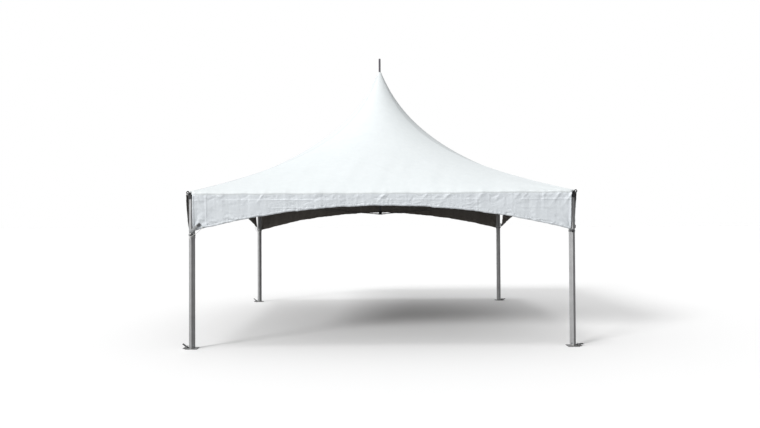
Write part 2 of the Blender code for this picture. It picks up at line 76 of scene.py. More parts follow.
# The studio. A wide floor, pale in the view and darker in what it throws back; two soft lights, one
# overhead and one from the front left; and light all round that is stronger on the left and in front,
# so that the metal has a bright side and a dark side.
FLOOR_HALF = 250.0
FLOOR_DOWN = 0.0008
FLOOR_TONE = (0.88, 0.88, 0.88, 1.0)
FLOOR_BOUNCE = (0.15, 0.15, 0.15, 1.0)
LIGHTS = {  # strength, softness in degrees, and where it comes from
    "overhead": (0.42, 12, (-0.22, -0.12, 0.968)),
    "aside": (2.0, 15, (-0.62, -0.62, 0.48)),
}
ROUND = {  # light all round: its strength at both ends of an axis, where it starts, and how it runs
    "X": (0.86, 0.05, -1.0, "SMOOTHSTEP"),
    "Y": (2.45, 0.82, -1.0, "LINEAR"),
    "Z": (1.0, 0.02, 0.0, "LINEAR"),
}
SKY = 1.03
BACKDROP = (1.0, 1.0, 1.0, 1.0)


def node(tree, kind, values=None, **settings):
    """Add a shader node: settings are its own values, and values fill its sockets or link to them."""
    made = tree.nodes.new("ShaderNode" + kind)
    for key, value in settings.items():
        setattr(made, key, value)
    for socket, value in (values or {}).items():
        if isinstance(value, bpy.types.NodeSocket):
            tree.links.new(value, made.inputs[socket])
        else:
            made.inputs[socket].default_value = value
    return made


def material(name, roughness, metallic=0.0):
    """Start a material: its tree, its Principled shader, and the tree's places on the object."""
    made = bpy.data.materials.new(name)
    made.use_nodes = True
    tree = made.node_tree
    shader = tree.nodes["Principled BSDF"]
    shader.inputs["Roughness"].default_value = roughness
    shader.inputs["Metallic"].default_value = metallic
    return made, tree, shader, node(tree, "TexCoord").outputs


def between(tree, low, high, share):
    """A colour that goes from low to high with a share that varies over the surface."""
    return node(tree, "Mix", {"Factor": share, 6: low, 7: high}, data_type="RGBA").outputs[2]


def spread(tree, value, low, high, start=0.0, end=1.0, **settings):
    """A value from start to end carried onto the span from low to high."""
    spans = {"Value": value, "From Min": start, "From Max": end, "To Min": low, "To Max": high}
    return node(tree, "MapRange", spans, **settings).outputs[0]


def reckon(tree, operation, *values):
    """One step of arithmetic with values that vary over the surface."""
    return node(tree, "Math", dict(enumerate(values)), operation=operation).outputs[0]


floor_mesh = bpy.data.meshes.new("floor")
corners = [(x * FLOOR_HALF, y * FLOOR_HALF, -FLOOR_DOWN) for x, y in ((-1, -1), (1, -1), (1, 1), (-1, 1))]
floor_mesh.from_pydata(corners, [], [(0, 1, 2, 3)])
floor = bpy.data.objects.new("floor", floor_mesh)
scene.collection.objects.link(floor)
floor_finish, tree, shader, place = material("floor_paint", roughness=0.9)
seen = node(tree, "LightPath").outputs["Is Camera Ray"]
tree.links.new(between(tree, FLOOR_BOUNCE, FLOOR_TONE, seen), shader.inputs["Base Color"])
floor_mesh.materials.append(floor_finish)

for name, (strength, softness, come_from) in LIGHTS.items():
    light = bpy.data.lights.new(name, "SUN")
    light.energy = strength
    light.angle = math.radians(softness)
    lamp = bpy.data.objects.new(name, light)
    lamp.rotation_euler = Vector(come_from).to_track_quat("Z", "Y").to_euler()
    scene.collection.objects.link(lamp)

scene.world = bpy.data.worlds.new("studio")
scene.world.use_nodes = True
tree = scene.world.node_tree
tree.nodes.clear()
way = node(tree, "SeparateXYZ", {0: node(tree, "TexCoord").outputs["Generated"]}).outputs
strength = 1.0
for axis, (low, high, start, run) in ROUND.items():
    glow = spread(tree, way[axis], low, high, start, interpolation_type=run)
    strength = reckon(tree, "MULTIPLY", glow, strength)
strength = reckon(tree, "MULTIPLY_ADD", reckon(tree, "MAXIMUM", way["Z"], 0.0), SKY, strength)
soft = node(tree, "Background", {"Strength": strength})
plain = node(tree, "Background", {"Color": BACKDROP})
seen = node(tree, "LightPath").outputs["Is Camera Ray"]
mixed = node(tree, "MixShader", {0: seen, 1: soft.outputs[0], 2: plain.outputs[0]})
node(tree, "OutputWorld", {"Surface": mixed.outputs[0]})
scene.view_settings.view_transform = "Standard"


# Base plates. Square steel plates, hot-dip galvanised, with a spigot that stands in the foot of
# the leg; they lie flat on the ground, and their lower edges have picked up earth.
GALVANISED_DARK = (0.30, 0.305, 0.31, 1.0)
GALVANISED_LIGHT = (0.50, 0.51, 0.52, 1.0)
EARTH = (0.16, 0.145, 0.125, 1.0)
EARTH_TOP, EARTH_FINENESS = 0.008, 28.0
GRAIN_FINER = 14.0
GRAIN_HIGH = 0.0002

CORNERS = {"front_left": (-1, -1), "front_right": (1, -1), "back_right": (1, 1), "back_left": (-1, 1)}
SIDES = ("front", "right", "back", "left")


def noise(tree, place, fineness, detail, **settings):
    """Clouds of values round 0.5 that follow a place on the object."""
    values = {"Vector": place, "Scale": fineness, "Detail": detail, **settings}
    return node(tree, "TexNoise", values).outputs[0]


def effect(name, inputs, *outputs):
    """Start a shader node group: its tree, its inputs and its outputs. An input with a value is a
    number, and one without is a vector."""
    tree = bpy.data.node_groups.new(name, "ShaderNodeTree")
    for label, value in inputs.items():
        kind = "NodeSocketVector" if value is None else "NodeSocketFloat"
        socket = tree.interface.new_socket(label, in_out="INPUT", socket_type=kind)
        if value is not None:
            socket.default_value = value
    for label in outputs:
        tree.interface.new_socket(label, in_out="OUTPUT", socket_type="NodeSocketFloat")
    return tree, tree.nodes.new("NodeGroupInput").outputs, tree.nodes.new("NodeGroupOutput").inputs


def use(tree, group, **values):
    """Place a shader node group in a material's tree and give its outputs."""
    return node(tree, "Group", values=values, node_tree=group).outputs


def relief(tree, shader, height, distance):
    """Let a height that varies over the surface tilt its normals."""
    bump = node(tree, "Bump", {"Height": height, "Distance": distance})
    tree.links.new(bump.outputs["Normal"], shader.inputs["Normal"])


def finish(tree, shader, colour, texture, roughness, height):
    """Give a shader its colour, a fine texture as relief, and a roughness that follows the texture."""
    tree.links.new(colour, shader.inputs["Base Color"])
    tree.links.new(spread(tree, texture, *roughness), shader.inputs["Roughness"])
    relief(tree, shader, texture, height)


mottle, given, made = effect("mottle", {"Place": None, "Fineness": 10.0}, "Patches", "Grain")
patches = noise(mottle, given["Place"], given["Fineness"], 4.0, Roughness=0.6)
mottle.links.new(spread(mottle, patches, -0.6, 1.6), made["Patches"])
finer = reckon(mottle, "MULTIPLY", given["Fineness"], GRAIN_FINER)
mottle.links.new(noise(mottle, given["Place"], finer, 2.0), made["Grain"])

splash, given, made = effect("ground_dirt", {"Place": None, "Top": 0.1}, "Cover")
height = node(splash, "SeparateXYZ", {0: given["Place"]}).outputs["Z"]
level = reckon(splash, "MULTIPLY", given["Top"], noise(splash, given["Place"], EARTH_FINENESS, 3.0))
share = spread(splash, reckon(splash, "DIVIDE", height, level), 0.0, 1.0, start=2.0, end=0.0)
splash.links.new(share, made["Cover"])


def soiled(tree, place, colour, top):
    """The colour with earth splashed over it up to about a height, if one is given."""
    if not top:
        return colour
    return between(tree, colour, EARTH, use(tree, splash, Place=place["Object"], Top=top)["Cover"])


def metal(name, dark, light, fineness, roughness, dirt_top=0.0, metallic=0.85):
    """A plain metal finish: patches of two tones, a fine grain, and earth near the ground if asked."""
    made, tree, shader, place = material(name, roughness, metallic)
    tones = use(tree, mottle, Place=place["Object"], Fineness=fineness)
    colour = soiled(tree, place, between(tree, dark, light, tones["Patches"]), dirt_top)
    finish(tree, shader, colour, tones["Grain"], (roughness - 0.1, roughness + 0.15), GRAIN_HIGH)
    return made


def dress(surface, *names):
    """Give a finish to whole CAD nodes."""
    for name in names:
        nodes[name].data.materials.clear()
        nodes[name].data.materials.append(surface)


galvanised_plate = metal("galvanised_plate", GALVANISED_DARK, GALVANISED_LIGHT, fineness=30.0, roughness=0.5,
                         dirt_top=EARTH_TOP)
dress(galvanised_plate, *[f"base_plate_{corner}" for corner in CORNERS])


# Anchor ratchets. Pressed steel, painted black, bolted to the ear of the base plate: two cheeks on a
# base strap, a spindle with toothed wheels and a few turns of webbing, a pawl, and a handle with a grip.
PLATE_THICK, SEAT = 0.008, 0.0003
LEG_CENTRE = 2.99
RATCHET_START, RATCHET_END = 0.056, 0.118
RATCHET_HALF, STRAP_THICK = 0.026, 0.004
CHEEK_HIGH, CHEEK_LOW, CHEEK_CROWN, CHEEK_THICK, CHEEK_INSET = 0.034, 0.013, 0.015, 0.003, 0.002
PIVOT_HIGH = 0.0187
SPINDLE_RADIUS, SPINDLE_HALF = 0.0075, 0.031
WHEEL_RADIUS, WHEEL_TEETH, WHEEL_THICK, TOOTH_SHARE = 0.0145, 11, 0.0035, 0.28
ROLL_RADIUS, ROLL_HALF = 0.0135, 0.0165
HANDLE_REACH, HANDLE_UP, HANDLE_DOWN = 0.076, 40, 6
HANDLE_APART, HANDLE_BACK, HANDLE_THIN, HANDLE_DEEP = 0.0195, -0.012, 0.0014, 0.0055
CROSS_PLATE, CROSS_HALF, CROSS_THIN = (0.45, 0.62), 0.018, 0.0018
GRIP_RADIUS, GRIP_HALF, GRIP_BACK = 0.0065, 0.0235, 0.006
PAWL_START, PAWL_REACH, PAWL_LEAN, PAWL_HALF, PAWL_THIN = 0.012, 0.040, 146, 0.009, 0.002
EASED = 0.0005
STRAP_BOLT, STRAP_BOLT_OUT = (0.013, 0.006, 0.009), 0.011
BLACK_DEEP = (0.018, 0.018, 0.019, 1.0)
BLACK_WORN = (0.10, 0.10, 0.105, 1.0)
WEB_DARK = (0.24, 0.245, 0.25, 1.0)
WEB_LIGHT = (0.42, 0.43, 0.435, 1.0)


def columns(*values):
    """Values side by side as the last axis of one array, each carried over the shape of the others."""
    return np.stack(np.broadcast_arrays(*values), -1)


def moved(points, place):
    """Points carried by a 4 x 4 matrix: turned first, then shifted."""
    matrix = np.array(place)
    return points @ matrix[:3, :3].T + matrix[:3, 3]


def lengths(points):
    """Distance run so far along a row of points: the running sum of the steps between them."""
    steps = np.linalg.norm(np.diff(points, axis=0), axis=-1)
    return np.concatenate([[0.0], np.cumsum(steps)])


def swept(path, outline, up, sizes=1, loop=False, skin=0, place=Matrix()):
    """A profile carried along a path: path(t) + size(t) * (a * across + b * lift) for each point (a, b)
    of the closed outline, where across = up x ahead and lift = ahead x across. The ends run together
    into a point, which closes them; a loop meets itself instead. The whole is then put in its place."""
    path = np.asarray(path, float)
    outline = np.asarray(outline, float)
    outline = np.vstack([outline, outline[:1]])
    if loop:
        wrapped = np.vstack([path[-2], path, path[1]])
        ahead = (wrapped[2:] - wrapped[:-2]) / 2
    else:
        ahead = np.gradient(path, axis=0)
    ahead /= np.linalg.norm(ahead, axis=1, keepdims=True)
    across = np.cross(np.broadcast_to(up, path.shape), ahead)
    across /= np.linalg.norm(across, axis=1, keepdims=True)
    lift = np.cross(ahead, across)
    sizes = np.broadcast_to(np.asarray(sizes, float), len(path))[:, None, None]
    points = path[:, None] + sizes * (outline[:, :1] * across[:, None] + outline[:, 1:] * lift[:, None])
    along, round_it = lengths(path), lengths(outline)
    if not loop:
        ends = np.repeat(path[[0, -1], None], len(outline), axis=1)
        points = np.concatenate([ends[:1], points, ends[1:]])
        along = np.concatenate([along[:1], along, along[-1:]])
    return moved(points, place), columns(round_it, along[:, None]), skin


def turned(profile, place, sides=24, skin=0):
    """A surface of revolution: each (radius, height) of the profile goes once round the Z axis of its
    place."""
    profile = np.array(profile, float)
    radius, height = profile.T[..., None]
    angle = np.linspace(0, 2 * math.pi, sides + 1)
    points = columns(radius * np.cos(angle), radius * np.sin(angle), height)
    return moved(points, place), columns(angle * radius.max(), lengths(profile)[:, None]), skin


def round_bar(radius, half, eased, place, sides, skin):
    """A round bar about the Z axis of its place, whose ends are eased by (inward, along)."""
    inward, along = eased
    end = [(0, half), (radius - inward, half), (radius, half - along)]
    return turned([(r, -z) for r, z in end] + end[::-1], place, sides, skin)


def piece(name, skins, grids, sheet=False, sharp=40):
    """One mesh from grids of points: the cells of each grid are quads, and points that coincide are
    joined, which closes seams and poles. Closed pieces have their normals turned outward; the rims of a
    sheet are sharp."""
    points_of, charts, cells, skin_of, start = [], [], [], [], 0
    for points, chart, skin in grids:
        rows, across = points.shape[:2]
        index = start + np.arange(rows * across).reshape(rows, across)
        quads = columns(index[:-1, :-1], index[1:, :-1], index[1:, 1:], index[:-1, 1:]).reshape(-1, 4)
        points_of.append(points.reshape(-1, 3))
        charts.append(chart.reshape(-1, 2))
        cells.append(quads)
        skin_of.append(np.full(len(quads), skin))
        start += rows * across
    quads = np.concatenate(cells)
    mesh = bpy.data.meshes.new(name)
    mesh.from_pydata(np.concatenate(points_of), [], quads)
    mesh.polygons.foreach_set("material_index", np.concatenate(skin_of).astype(np.int32))
    layer = mesh.uv_layers.new(name="chart")
    layer.data.foreach_set("uv", np.concatenate(charts)[quads.ravel()].ravel().astype(np.float32))
    for skin in skins:
        mesh.materials.append(skin)
    bm = bmesh.new()
    bm.from_mesh(mesh)
    bmesh.ops.remove_doubles(bm, verts=bm.verts, dist=1e-5)
    if not sheet:
        bmesh.ops.recalc_face_normals(bm, faces=bm.faces)
    bm.to_mesh(mesh)
    rims = [edge.index for edge in bm.edges if edge.is_boundary]
    bm.free()
    mesh.shade_smooth()
    mesh.set_sharp_from_angle(angle=math.radians(sharp))
    for rim in rims:
        mesh.edges[rim].use_edge_sharp = True
    made = bpy.data.objects.new(name, mesh)
    scene.collection.objects.link(made)
    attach(made, "root")
    return made


def block(low, high, place, eased=0.0008, skin=0):
    """A box with eased ends: a rectangle carried from its low X to its high X."""
    (x0, y0, z0), (x1, y1, z1) = low, high
    outline = [((y1 - y0) / 2 * a, (z1 - z0) / 2 * b) for a, b in ((1, 1), (-1, 1), (-1, -1), (1, -1))]
    path = [(x, (y0 + y1) / 2, (z0 + z1) / 2) for x in (x0, x0 + eased, x1 - eased, x1)]
    return swept(path, outline, (0, 0, 1), (0.94, 1, 1, 0.94), skin=skin, place=place)


def disc(radius, steps=20, teeth=0.0):
    """A round outline, or a toothed one: the radius falls by a share of itself along each tooth."""
    angle = np.arange(steps) * 2 * math.pi / steps
    radius = radius * (1 - teeth * (np.arange(steps) % 3) / 2)
    return columns(radius * np.cos(angle), radius * np.sin(angle))


def hex_bolt(place, across=0.019, head=0.008, washer=0.013, skin=0):
    """A washer and a chamfered six-sided head, standing on the origin of their place along +Z."""
    flat = turned([(0, 0), (washer, 0), (washer, 0.0015), (0, 0.0015)], place, 20, skin)
    path = [(0, 0, z) for z in (0.0016, head * 0.8, head)]
    sides = disc(across / math.sqrt(3), 6)
    return [flat, swept(path, sides, (1, 0, 0), (1, 1, 0.86), skin=skin, place=place)]


weave, given, made = effect("weave", {"Chart": None, "Threads": 600.0}, "Height")
turns = node(weave, "VectorMath", {0: given["Chart"], "Scale": given["Threads"]}, operation="SCALE")
turns = node(weave, "SeparateXYZ", {0: turns.outputs[0]}).outputs
crossed = reckon(weave, "MULTIPLY", reckon(weave, "SINE", turns["X"]), reckon(weave, "SINE", turns["Y"]))
weave.links.new(spread(weave, crossed, 0.5, 1.0), made["Height"])

black_steel = metal("black_steel", BLACK_DEEP, BLACK_WORN, fineness=60.0, roughness=0.45, dirt_top=0.02,
                    metallic=0.4)
bright_steel = metal("bright_steel", GALVANISED_DARK, GALVANISED_LIGHT, fineness=80.0, roughness=0.35)
webbing, tree, shader, place = material("webbing", roughness=0.85)
soil = use(tree, mottle, Place=place["Object"], Fineness=25.0)["Patches"]
tree.links.new(between(tree, WEB_LIGHT, WEB_DARK, soil), shader.inputs["Base Color"])
relief(tree, shader, use(tree, weave, Chart=place["UV"], Threads=3000.0)["Height"], 0.0006)

seat = PLATE_THICK + SEAT
centre = (RATCHET_START + RATCHET_END) / 2
bend = np.radians(np.linspace(0, 180, 9))
crown_middle = seat + CHEEK_HIGH - CHEEK_CROWN
crown = columns(centre + CHEEK_CROWN * np.cos(bend), crown_middle + CHEEK_CROWN * np.sin(bend))
fore, aft = RATCHET_END - CHEEK_INSET, RATCHET_START + CHEEK_INSET
cheek = np.vstack([(fore, seat + CHEEK_INSET), (fore, seat + CHEEK_LOW), *crown,
                   (aft, seat + CHEEK_LOW), (aft, seat + CHEEK_INSET)])
middle = cheek.mean(0)
teeth = disc(WHEEL_RADIUS, 3 * WHEEL_TEETH, TOOTH_SHARE)
for corner, (x, y) in CORNERS.items():
    place = shift(x * LEG_CENTRE, y * LEG_CENTRE, 0) @ spin(0 if x > 0 else 180, "Z")
    pivot = place @ shift(centre, 0, seat + PIVOT_HIGH)
    axle = pivot @ spin(90, "X")
    strap_end = (RATCHET_END, RATCHET_HALF, seat + STRAP_THICK)
    grids = [block((RATCHET_START, -RATCHET_HALF, seat), strap_end, place)]
    for way in (-1, 1):
        inner = way * (RATCHET_HALF - CHEEK_THICK - 0.001)
        path = [(middle[0], inner + way * t, middle[1]) for t in (0, EASED, CHEEK_THICK - EASED, CHEEK_THICK)]
        grids.append(swept(path, (cheek - middle) * (-way, 1), (0, 0, 1), (0.97, 1, 1, 0.97), place=place))
        hub = way * (RATCHET_HALF + 0.0008)
        path = [(0, 0, hub), (0, 0, hub + way * WHEEL_THICK)]
        grids.append(swept(path, teeth, (1, 0, 0), skin=1, place=axle))
    grids.append(round_bar(SPINDLE_RADIUS, SPINDLE_HALF, (0.001, 0.001), axle, 20, 1))
    grids.append(round_bar(ROLL_RADIUS, ROLL_HALF, (0.002, 0.001), axle, 28, 2))
    lever = pivot @ spin(-HANDLE_DOWN if x > 0 else -HANDLE_UP, "Y")
    for edge in (-HANDLE_APART, HANDLE_APART):
        grids.append(block((HANDLE_BACK, edge - HANDLE_THIN, -HANDLE_DEEP),
                           (HANDLE_REACH, edge + HANDLE_THIN, HANDLE_DEEP), lever))
    grip = lever @ shift(HANDLE_REACH - GRIP_BACK, 0, 0) @ spin(90, "X")
    grids.append(round_bar(GRIP_RADIUS, GRIP_HALF, (0.001, 0.0025), grip, 18, 0))
    start, end = (HANDLE_REACH * share for share in CROSS_PLATE)
    grids.append(block((start, -CROSS_HALF, -CROSS_THIN), (end, CROSS_HALF, CROSS_THIN), lever))
    pawl_end = (PAWL_REACH, PAWL_HALF, PAWL_THIN)
    pawl_place = pivot @ spin(-PAWL_LEAN, "Y")
    grids.append(block((PAWL_START, -PAWL_HALF, -PAWL_THIN), pawl_end, pawl_place, skin=1))
    grids += hex_bolt(place @ shift(RATCHET_END + STRAP_BOLT_OUT, 0, PLATE_THICK), *STRAP_BOLT, skin=1)
    ratchet = piece(f"ratchet_{corner}", [black_steel, bright_steel, webbing], grids)
    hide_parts(f"anchor_ratchet_{corner}")


# Legs. Extruded aluminium tube, 72 mm square with a shallow groove down each face, set corner-on;
# a bolt through the foot of each holds it on the spigot of its base plate.
MILL_DARK = (0.40, 0.402, 0.405, 1.0)
MILL_LIGHT = (0.56, 0.563, 0.567, 1.0)
MILL_ROUGHNESS, MILL_METALLIC = 0.42, 0.6
LINES_CLOSE, LINES_LONG, LINES_HIGH = 260.0, 1.5, 0.00025
LEG_HALF = 0.036
FOOT_BOLT_HIGH = 0.045


def drawn_metal(name, axis, dark=MILL_DARK, light=MILL_LIGHT, dirt_top=0.0):
    """Extruded aluminium: fine lines along the tube's axis, soft stains across them, a satin shine."""
    made, tree, shader, place = material(name, MILL_ROUGHNESS, MILL_METALLIC)
    stretch = [LINES_CLOSE] * 3
    stretch["XYZ".index(axis)] = LINES_LONG
    drawn = node(tree, "VectorMath", {0: place["Object"], 1: stretch}, operation="MULTIPLY").outputs[0]
    lines = noise(tree, drawn, 1.0, 2.0)
    tones = use(tree, mottle, Place=place["Object"], Fineness=7.0)
    streaked = node(tree, "Mix", {0: 0.35, 2: tones["Patches"], 3: lines}).outputs[0]
    colour = soiled(tree, place, between(tree, dark, light, streaked), dirt_top)
    finish(tree, shader, colour, lines, (MILL_ROUGHNESS - 0.08, MILL_ROUGHNESS + 0.12), LINES_HIGH)
    return made


def leg_place(corner):
    """Frame of a leg: on the ground under it, +X outward on the diagonal."""
    x, y = CORNERS[corner]
    return shift(x * LEG_CENTRE, y * LEG_CENTRE, 0) @ spin(math.degrees(math.atan2(y, x)), "Z")


def facing(side_turn, out, high):
    """A place on a tube's face: +Z points away from the face whose normal has that turn about Z."""
    return spin(side_turn, "Z") @ shift(out, 0, high) @ spin(90, "Y")


dress(drawn_metal("leg_aluminium", "Z", dirt_top=0.03), *[f"leg_{corner}" for corner in CORNERS])
for corner in CORNERS:
    grids = []
    for turn in (90, 270):
        grids += hex_bolt(leg_place(corner) @ facing(turn, LEG_HALF, FOOT_BOLT_HIGH))
    piece(f"foot_bolt_{corner}", [bright_steel], grids)


# Corner fittings. Welded steel sleeves over the leg tops, dull, with a stub into each eave
# rail; two bolts through each rail hold it on its stub. Their near-black tone is painted shade, for
# the shade under the cloth where they sit; the mast foot takes the same finish.
FITTING_DARK = (0.035, 0.035, 0.036, 1.0)
FITTING_LIGHT = (0.085, 0.085, 0.088, 1.0)
SLEEVE_HALF, SLEEVE_BOLT_HIGH = 0.042, 2.352
RAIL_HALF = 0.025
RAIL_MIDDLE = 2.3915
RAIL_BOLTS, RAIL_BOLT = (0.095, 0.155), (0.015, 0.006, 0.011)

# Painted shade: the fittings' near-black tones stand in for the shade under the cloth.
fitting_steel = metal("fitting_steel", FITTING_DARK, FITTING_LIGHT, fineness=40.0, roughness=0.5,
                      metallic=0.5)
dress(fitting_steel, *[f"corner_fitting_{corner}" for corner in CORNERS])
for corner, (x, y) in CORNERS.items():
    grids = hex_bolt(leg_place(corner) @ facing(180, SLEEVE_HALF, SLEEVE_BOLT_HIGH))
    for inboard in RAIL_BOLTS:
        for turn, back_x, back_y in ((90 * y, inboard, 0), (90 - 90 * x, 0, inboard)):
            at_rail = shift(x * (LEG_CENTRE - back_x), y * (LEG_CENTRE - back_y), 0)
            grids += hex_bolt(at_rail @ facing(turn + 180, RAIL_HALF, RAIL_MIDDLE), *RAIL_BOLT)
    piece(f"fitting_bolts_{corner}", [bright_steel], grids)


# Eave rails. Aluminium box section, 50 by 80 mm, pushed onto the stubs of the corner fittings; the
# cloth passes over their outer top edges.
dress(drawn_metal("rail_aluminium_across", "X"), "eave_rail_front", "eave_rail_back")
dress(drawn_metal("rail_aluminium_along", "Y"), "eave_rail_left", "eave_rail_right")


# Corner eyes. Forged eye bolts, blackened, on the outward face of each corner fitting at the tip of
# the cloth.
EYE_HEIGHT, EYE_RISE, EYE_RING, EYE_BAR = 2.424, 0.014, 0.0195, 0.0085
COLLAR, COLLAR_THICK, NECK = 0.018, 0.004, 0.009

forged_steel = metal("forged_steel", BLACK_DEEP, FITTING_DARK, fineness=70.0, roughness=0.75, metallic=0.0)
collar = [(0, 0), (COLLAR - 0.001, 0), (COLLAR, 0.001), (COLLAR, COLLAR_THICK - 0.0015),
          (COLLAR - 0.003, COLLAR_THICK), (NECK + 0.001, COLLAR_THICK + 0.001), (NECK, COLLAR_THICK + 0.004),
          (0, COLLAR_THICK + 0.004)]
angle = np.linspace(0, 2 * math.pi, 41)
reach = COLLAR_THICK + EYE_RING + EYE_BAR - 0.003
ring = columns(-EYE_RISE - EYE_RING * np.cos(angle), 0, reach + EYE_RING * np.sin(angle))
for corner in CORNERS:
    outward = leg_place(corner) @ facing(0, SLEEVE_HALF + SEAT, EYE_HEIGHT)
    grids = [turned(collar, outward, 28), swept(ring, disc(EYE_BAR, 14), (0, 1, 0), loop=True, place=outward)]
    eye = piece(f"eye_{corner}", [forged_steel], grids, sharp=50)
    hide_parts(f"corner_eye_{corner}")


# Mast. A round aluminium tube that hangs in the middle on the crossed cables: a steel foot block
# below, a spun cone above that spreads the cloth, and a dark painted spike through the peak.
SPIKE_DARK = (0.075, 0.068, 0.080, 1.0)
SPIKE_LIGHT = (0.115, 0.105, 0.120, 1.0)
# The mast's tones are far darker than the legs' aluminium: painted shade for the dark inside of the tent.
MAST_SHADED_DARK = (0.10, 0.10, 0.105, 1.0)
MAST_SHADED_LIGHT = (0.20, 0.20, 0.205, 1.0)

# Painted shade: the mast's dark aluminium stands for the shade under the top.
dress(drawn_metal("mast_aluminium", "Z", MAST_SHADED_DARK, MAST_SHADED_LIGHT), "mast")
dress(fitting_steel, "mast_foot")
dress(galvanised_plate, "peak_cone")
spike_paint = metal("spike_paint", SPIKE_DARK, SPIKE_LIGHT, fineness=20.0, roughness=0.45, metallic=0.3)
dress(spike_paint, "mast_spike")


# Crossed cables. Galvanised wire rope, six strands laid round a core, with a swaged sleeve at each
# end; four of them run from the mast foot to the corner fittings and carry the mast.
CABLE_RADIUS, CABLE_STRANDS, CABLE_LAY, CABLE_GROOVE = 0.006, 6, 0.085, 0.16
CABLE_STEP = 0.0085
SWAGE_RADIUS, SWAGE_LENGTH, SWAGE_TAPER, SWAGE_WAIST = 0.012, 0.11, 0.03, 0.86
CABLE_IN_SWAGE, FOOT_HALF = 0.01, 0.023
CABLE_LOW, CABLE_HIGH = 2.131, 2.385
ROPE_DARK = (0.10, 0.10, 0.10, 1.0)
ROPE_LIGHT = (0.30, 0.30, 0.305, 1.0)


def wire_rope(length, place, sides=24):
    """Radius R (1 - G + G |cos 3a|) at the turn a round the rope, with the groove's share G; the turn
    runs on with the distance along it, so that the six strands wind round once each lay."""
    along = np.linspace(0, length, int(length / CABLE_STEP))[:, None]
    turn = np.linspace(0, 2 * math.pi, sides + 1)
    radius = CABLE_RADIUS * (1 - CABLE_GROOVE + CABLE_GROOVE * np.abs(np.cos(CABLE_STRANDS / 2 * turn)))
    twist = turn + 2 * math.pi * along / CABLE_LAY
    points = columns(radius * np.cos(twist), radius * np.sin(twist), along)
    return moved(points, place), columns(turn * CABLE_RADIUS, along), 0


cable_steel = metal("cable_steel", ROPE_DARK, ROPE_LIGHT, fineness=120.0, roughness=0.45)
near = Vector((FOOT_HALF + SEAT, 0, CABLE_LOW))
far = Vector((LEG_CENTRE * math.sqrt(2) - SLEEVE_HALF - SEAT, 0, CABLE_HIGH))
run = far - near
ahead = run.normalized()
end_gap = SWAGE_RADIUS * run.z / run.x
length = run.length - 2 * end_gap
sleeve_end = SWAGE_LENGTH + SWAGE_TAPER
waist = SWAGE_RADIUS * SWAGE_WAIST
swage = [(0, 0), (SWAGE_RADIUS - 0.001, 0), (SWAGE_RADIUS, 0.001), (SWAGE_RADIUS, SWAGE_LENGTH * 0.3),
         (waist, SWAGE_LENGTH * 0.34), (waist, SWAGE_LENGTH), (CABLE_RADIUS * 1.25, sleeve_end),
         (0, sleeve_end)]
for corner, (x, y) in CORNERS.items():
    place = (spin(math.degrees(math.atan2(y, x)), "Z") @ shift(*(near + ahead * end_gap))
             @ Vector((0, 0, 1)).rotation_difference(ahead).to_matrix().to_4x4())
    start = place @ shift(0, 0, sleeve_end - CABLE_IN_SWAGE)
    grids = [wire_rope(length - 2 * sleeve_end + 2 * CABLE_IN_SWAGE, start)]
    for end in (place, place @ shift(0, 0, length) @ spin(180, "X")):
        grids.append(turned(swage, end, 24, 1))
    cable = piece(f"cable_{corner}", [cable_steel, bright_steel], grids)
    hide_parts(f"cross_cable_{corner}")


# Cloth top. Coated polyester, white outside with a blockout coat inside, welded from four gores
# into one skin; it is pulled over the peak cone and the eave rails, and turned down at the eaves. The
# coat's dark grey-brown is painted shade, standing in for the shade inside the tent.
EAVE_HALF, EAVE_HEIGHT, PEAK_HEIGHT = 3.075, 2.44, 5.105
FLARE, ROUNDNESS, ROUND_POWER, ROUND_END = 0.10, 0.90, 1.75, 0.9925
CURVE = (PEAK_HEIGHT - EAVE_HEIGHT) / math.log((1 + FLARE) / FLARE)
EAVE_SLOPE = math.atan(CURVE / (1 + FLARE) / EAVE_HALF)
PEAK_U, TIP, CLOTH_THICK = 0.0070, 3.02, 0.0014
ROOF_ROWS, ROOF_COLUMNS = 52, 200
ROOF_LEAN = -0.030
BEND, LIP_DOWN = 0.032, 0.014
HIP_KEEP = 0.11
FAN_RISE, FAN_REACH = 0.006, 0.55
SAG, SAG_REACH = 0.005, 1.4
VALANCE_TOP, VALANCE_DROP, VALANCE_PULL = 2.4160, 0.60, 0.020
EAVE_SEED = 11
SHORT_FOLDS, LONG_FOLDS, FOLDS_HALF = 22, 12, 2.9
FRONT_FOLDS = (  # place along the eave, lean, width, reach down and rise, read from the photograph
    (2.535, -0.05, 0.026, 0.13, 0.014),
    (2.79, -0.75, 0.034, 0.085, 0.022),
    (2.89, -0.80, 0.018, 0.050, 0.008),
    (2.985, -0.75, 0.022, 0.085, 0.024),
    (1.06, -0.95, 0.036, 0.10, 0.015),
    (0.70, -0.70, 0.022, 0.07, 0.010),
    (1.57, -0.70, 0.046, 0.11, 0.014),
    (1.85, -0.60, 0.022, 0.07, 0.008),
    (2.15, -0.75, 0.022, 0.07, 0.010),
    (0.04, -0.85, 0.026, 0.10, 0.014),
    (-0.37, -0.35, 0.020, 0.07, 0.010),
    (-0.75, -0.45, 0.020, 0.06, 0.008),
    (-1.86, -0.50, 0.024, 0.07, 0.010),
    (-2.93, 0.55, 0.030, 0.20, 0.016),
    (-2.58, 0.80, 0.030, 0.14, 0.010),
    (-2.755, 0.02, 0.014, 1.2, 0.0035),
)
FRONT_CREASES = (-2.755, -2.42, -1.324, 0.42, 1.48)
CREASES_DOWN = (0.100, 0.226)
CREASE_WIDE, CREASE_RISE, UPRIGHT_RISE = 0.006, 0.0030, 0.0026
EAVE_WAVE, RIDGE_RISE, BLOTCH_RISE, GATHER_RISE, GATHER_END = 0.006, 0.0030, 0.0035, 0.0020, -2.74
RAIL_FOOT, RIDGE_DOWN, FOLDS_FULL = 0.078, 0.096, 0.035
TOP_CLEAN = (0.70, 0.735, 0.745, 1.0)
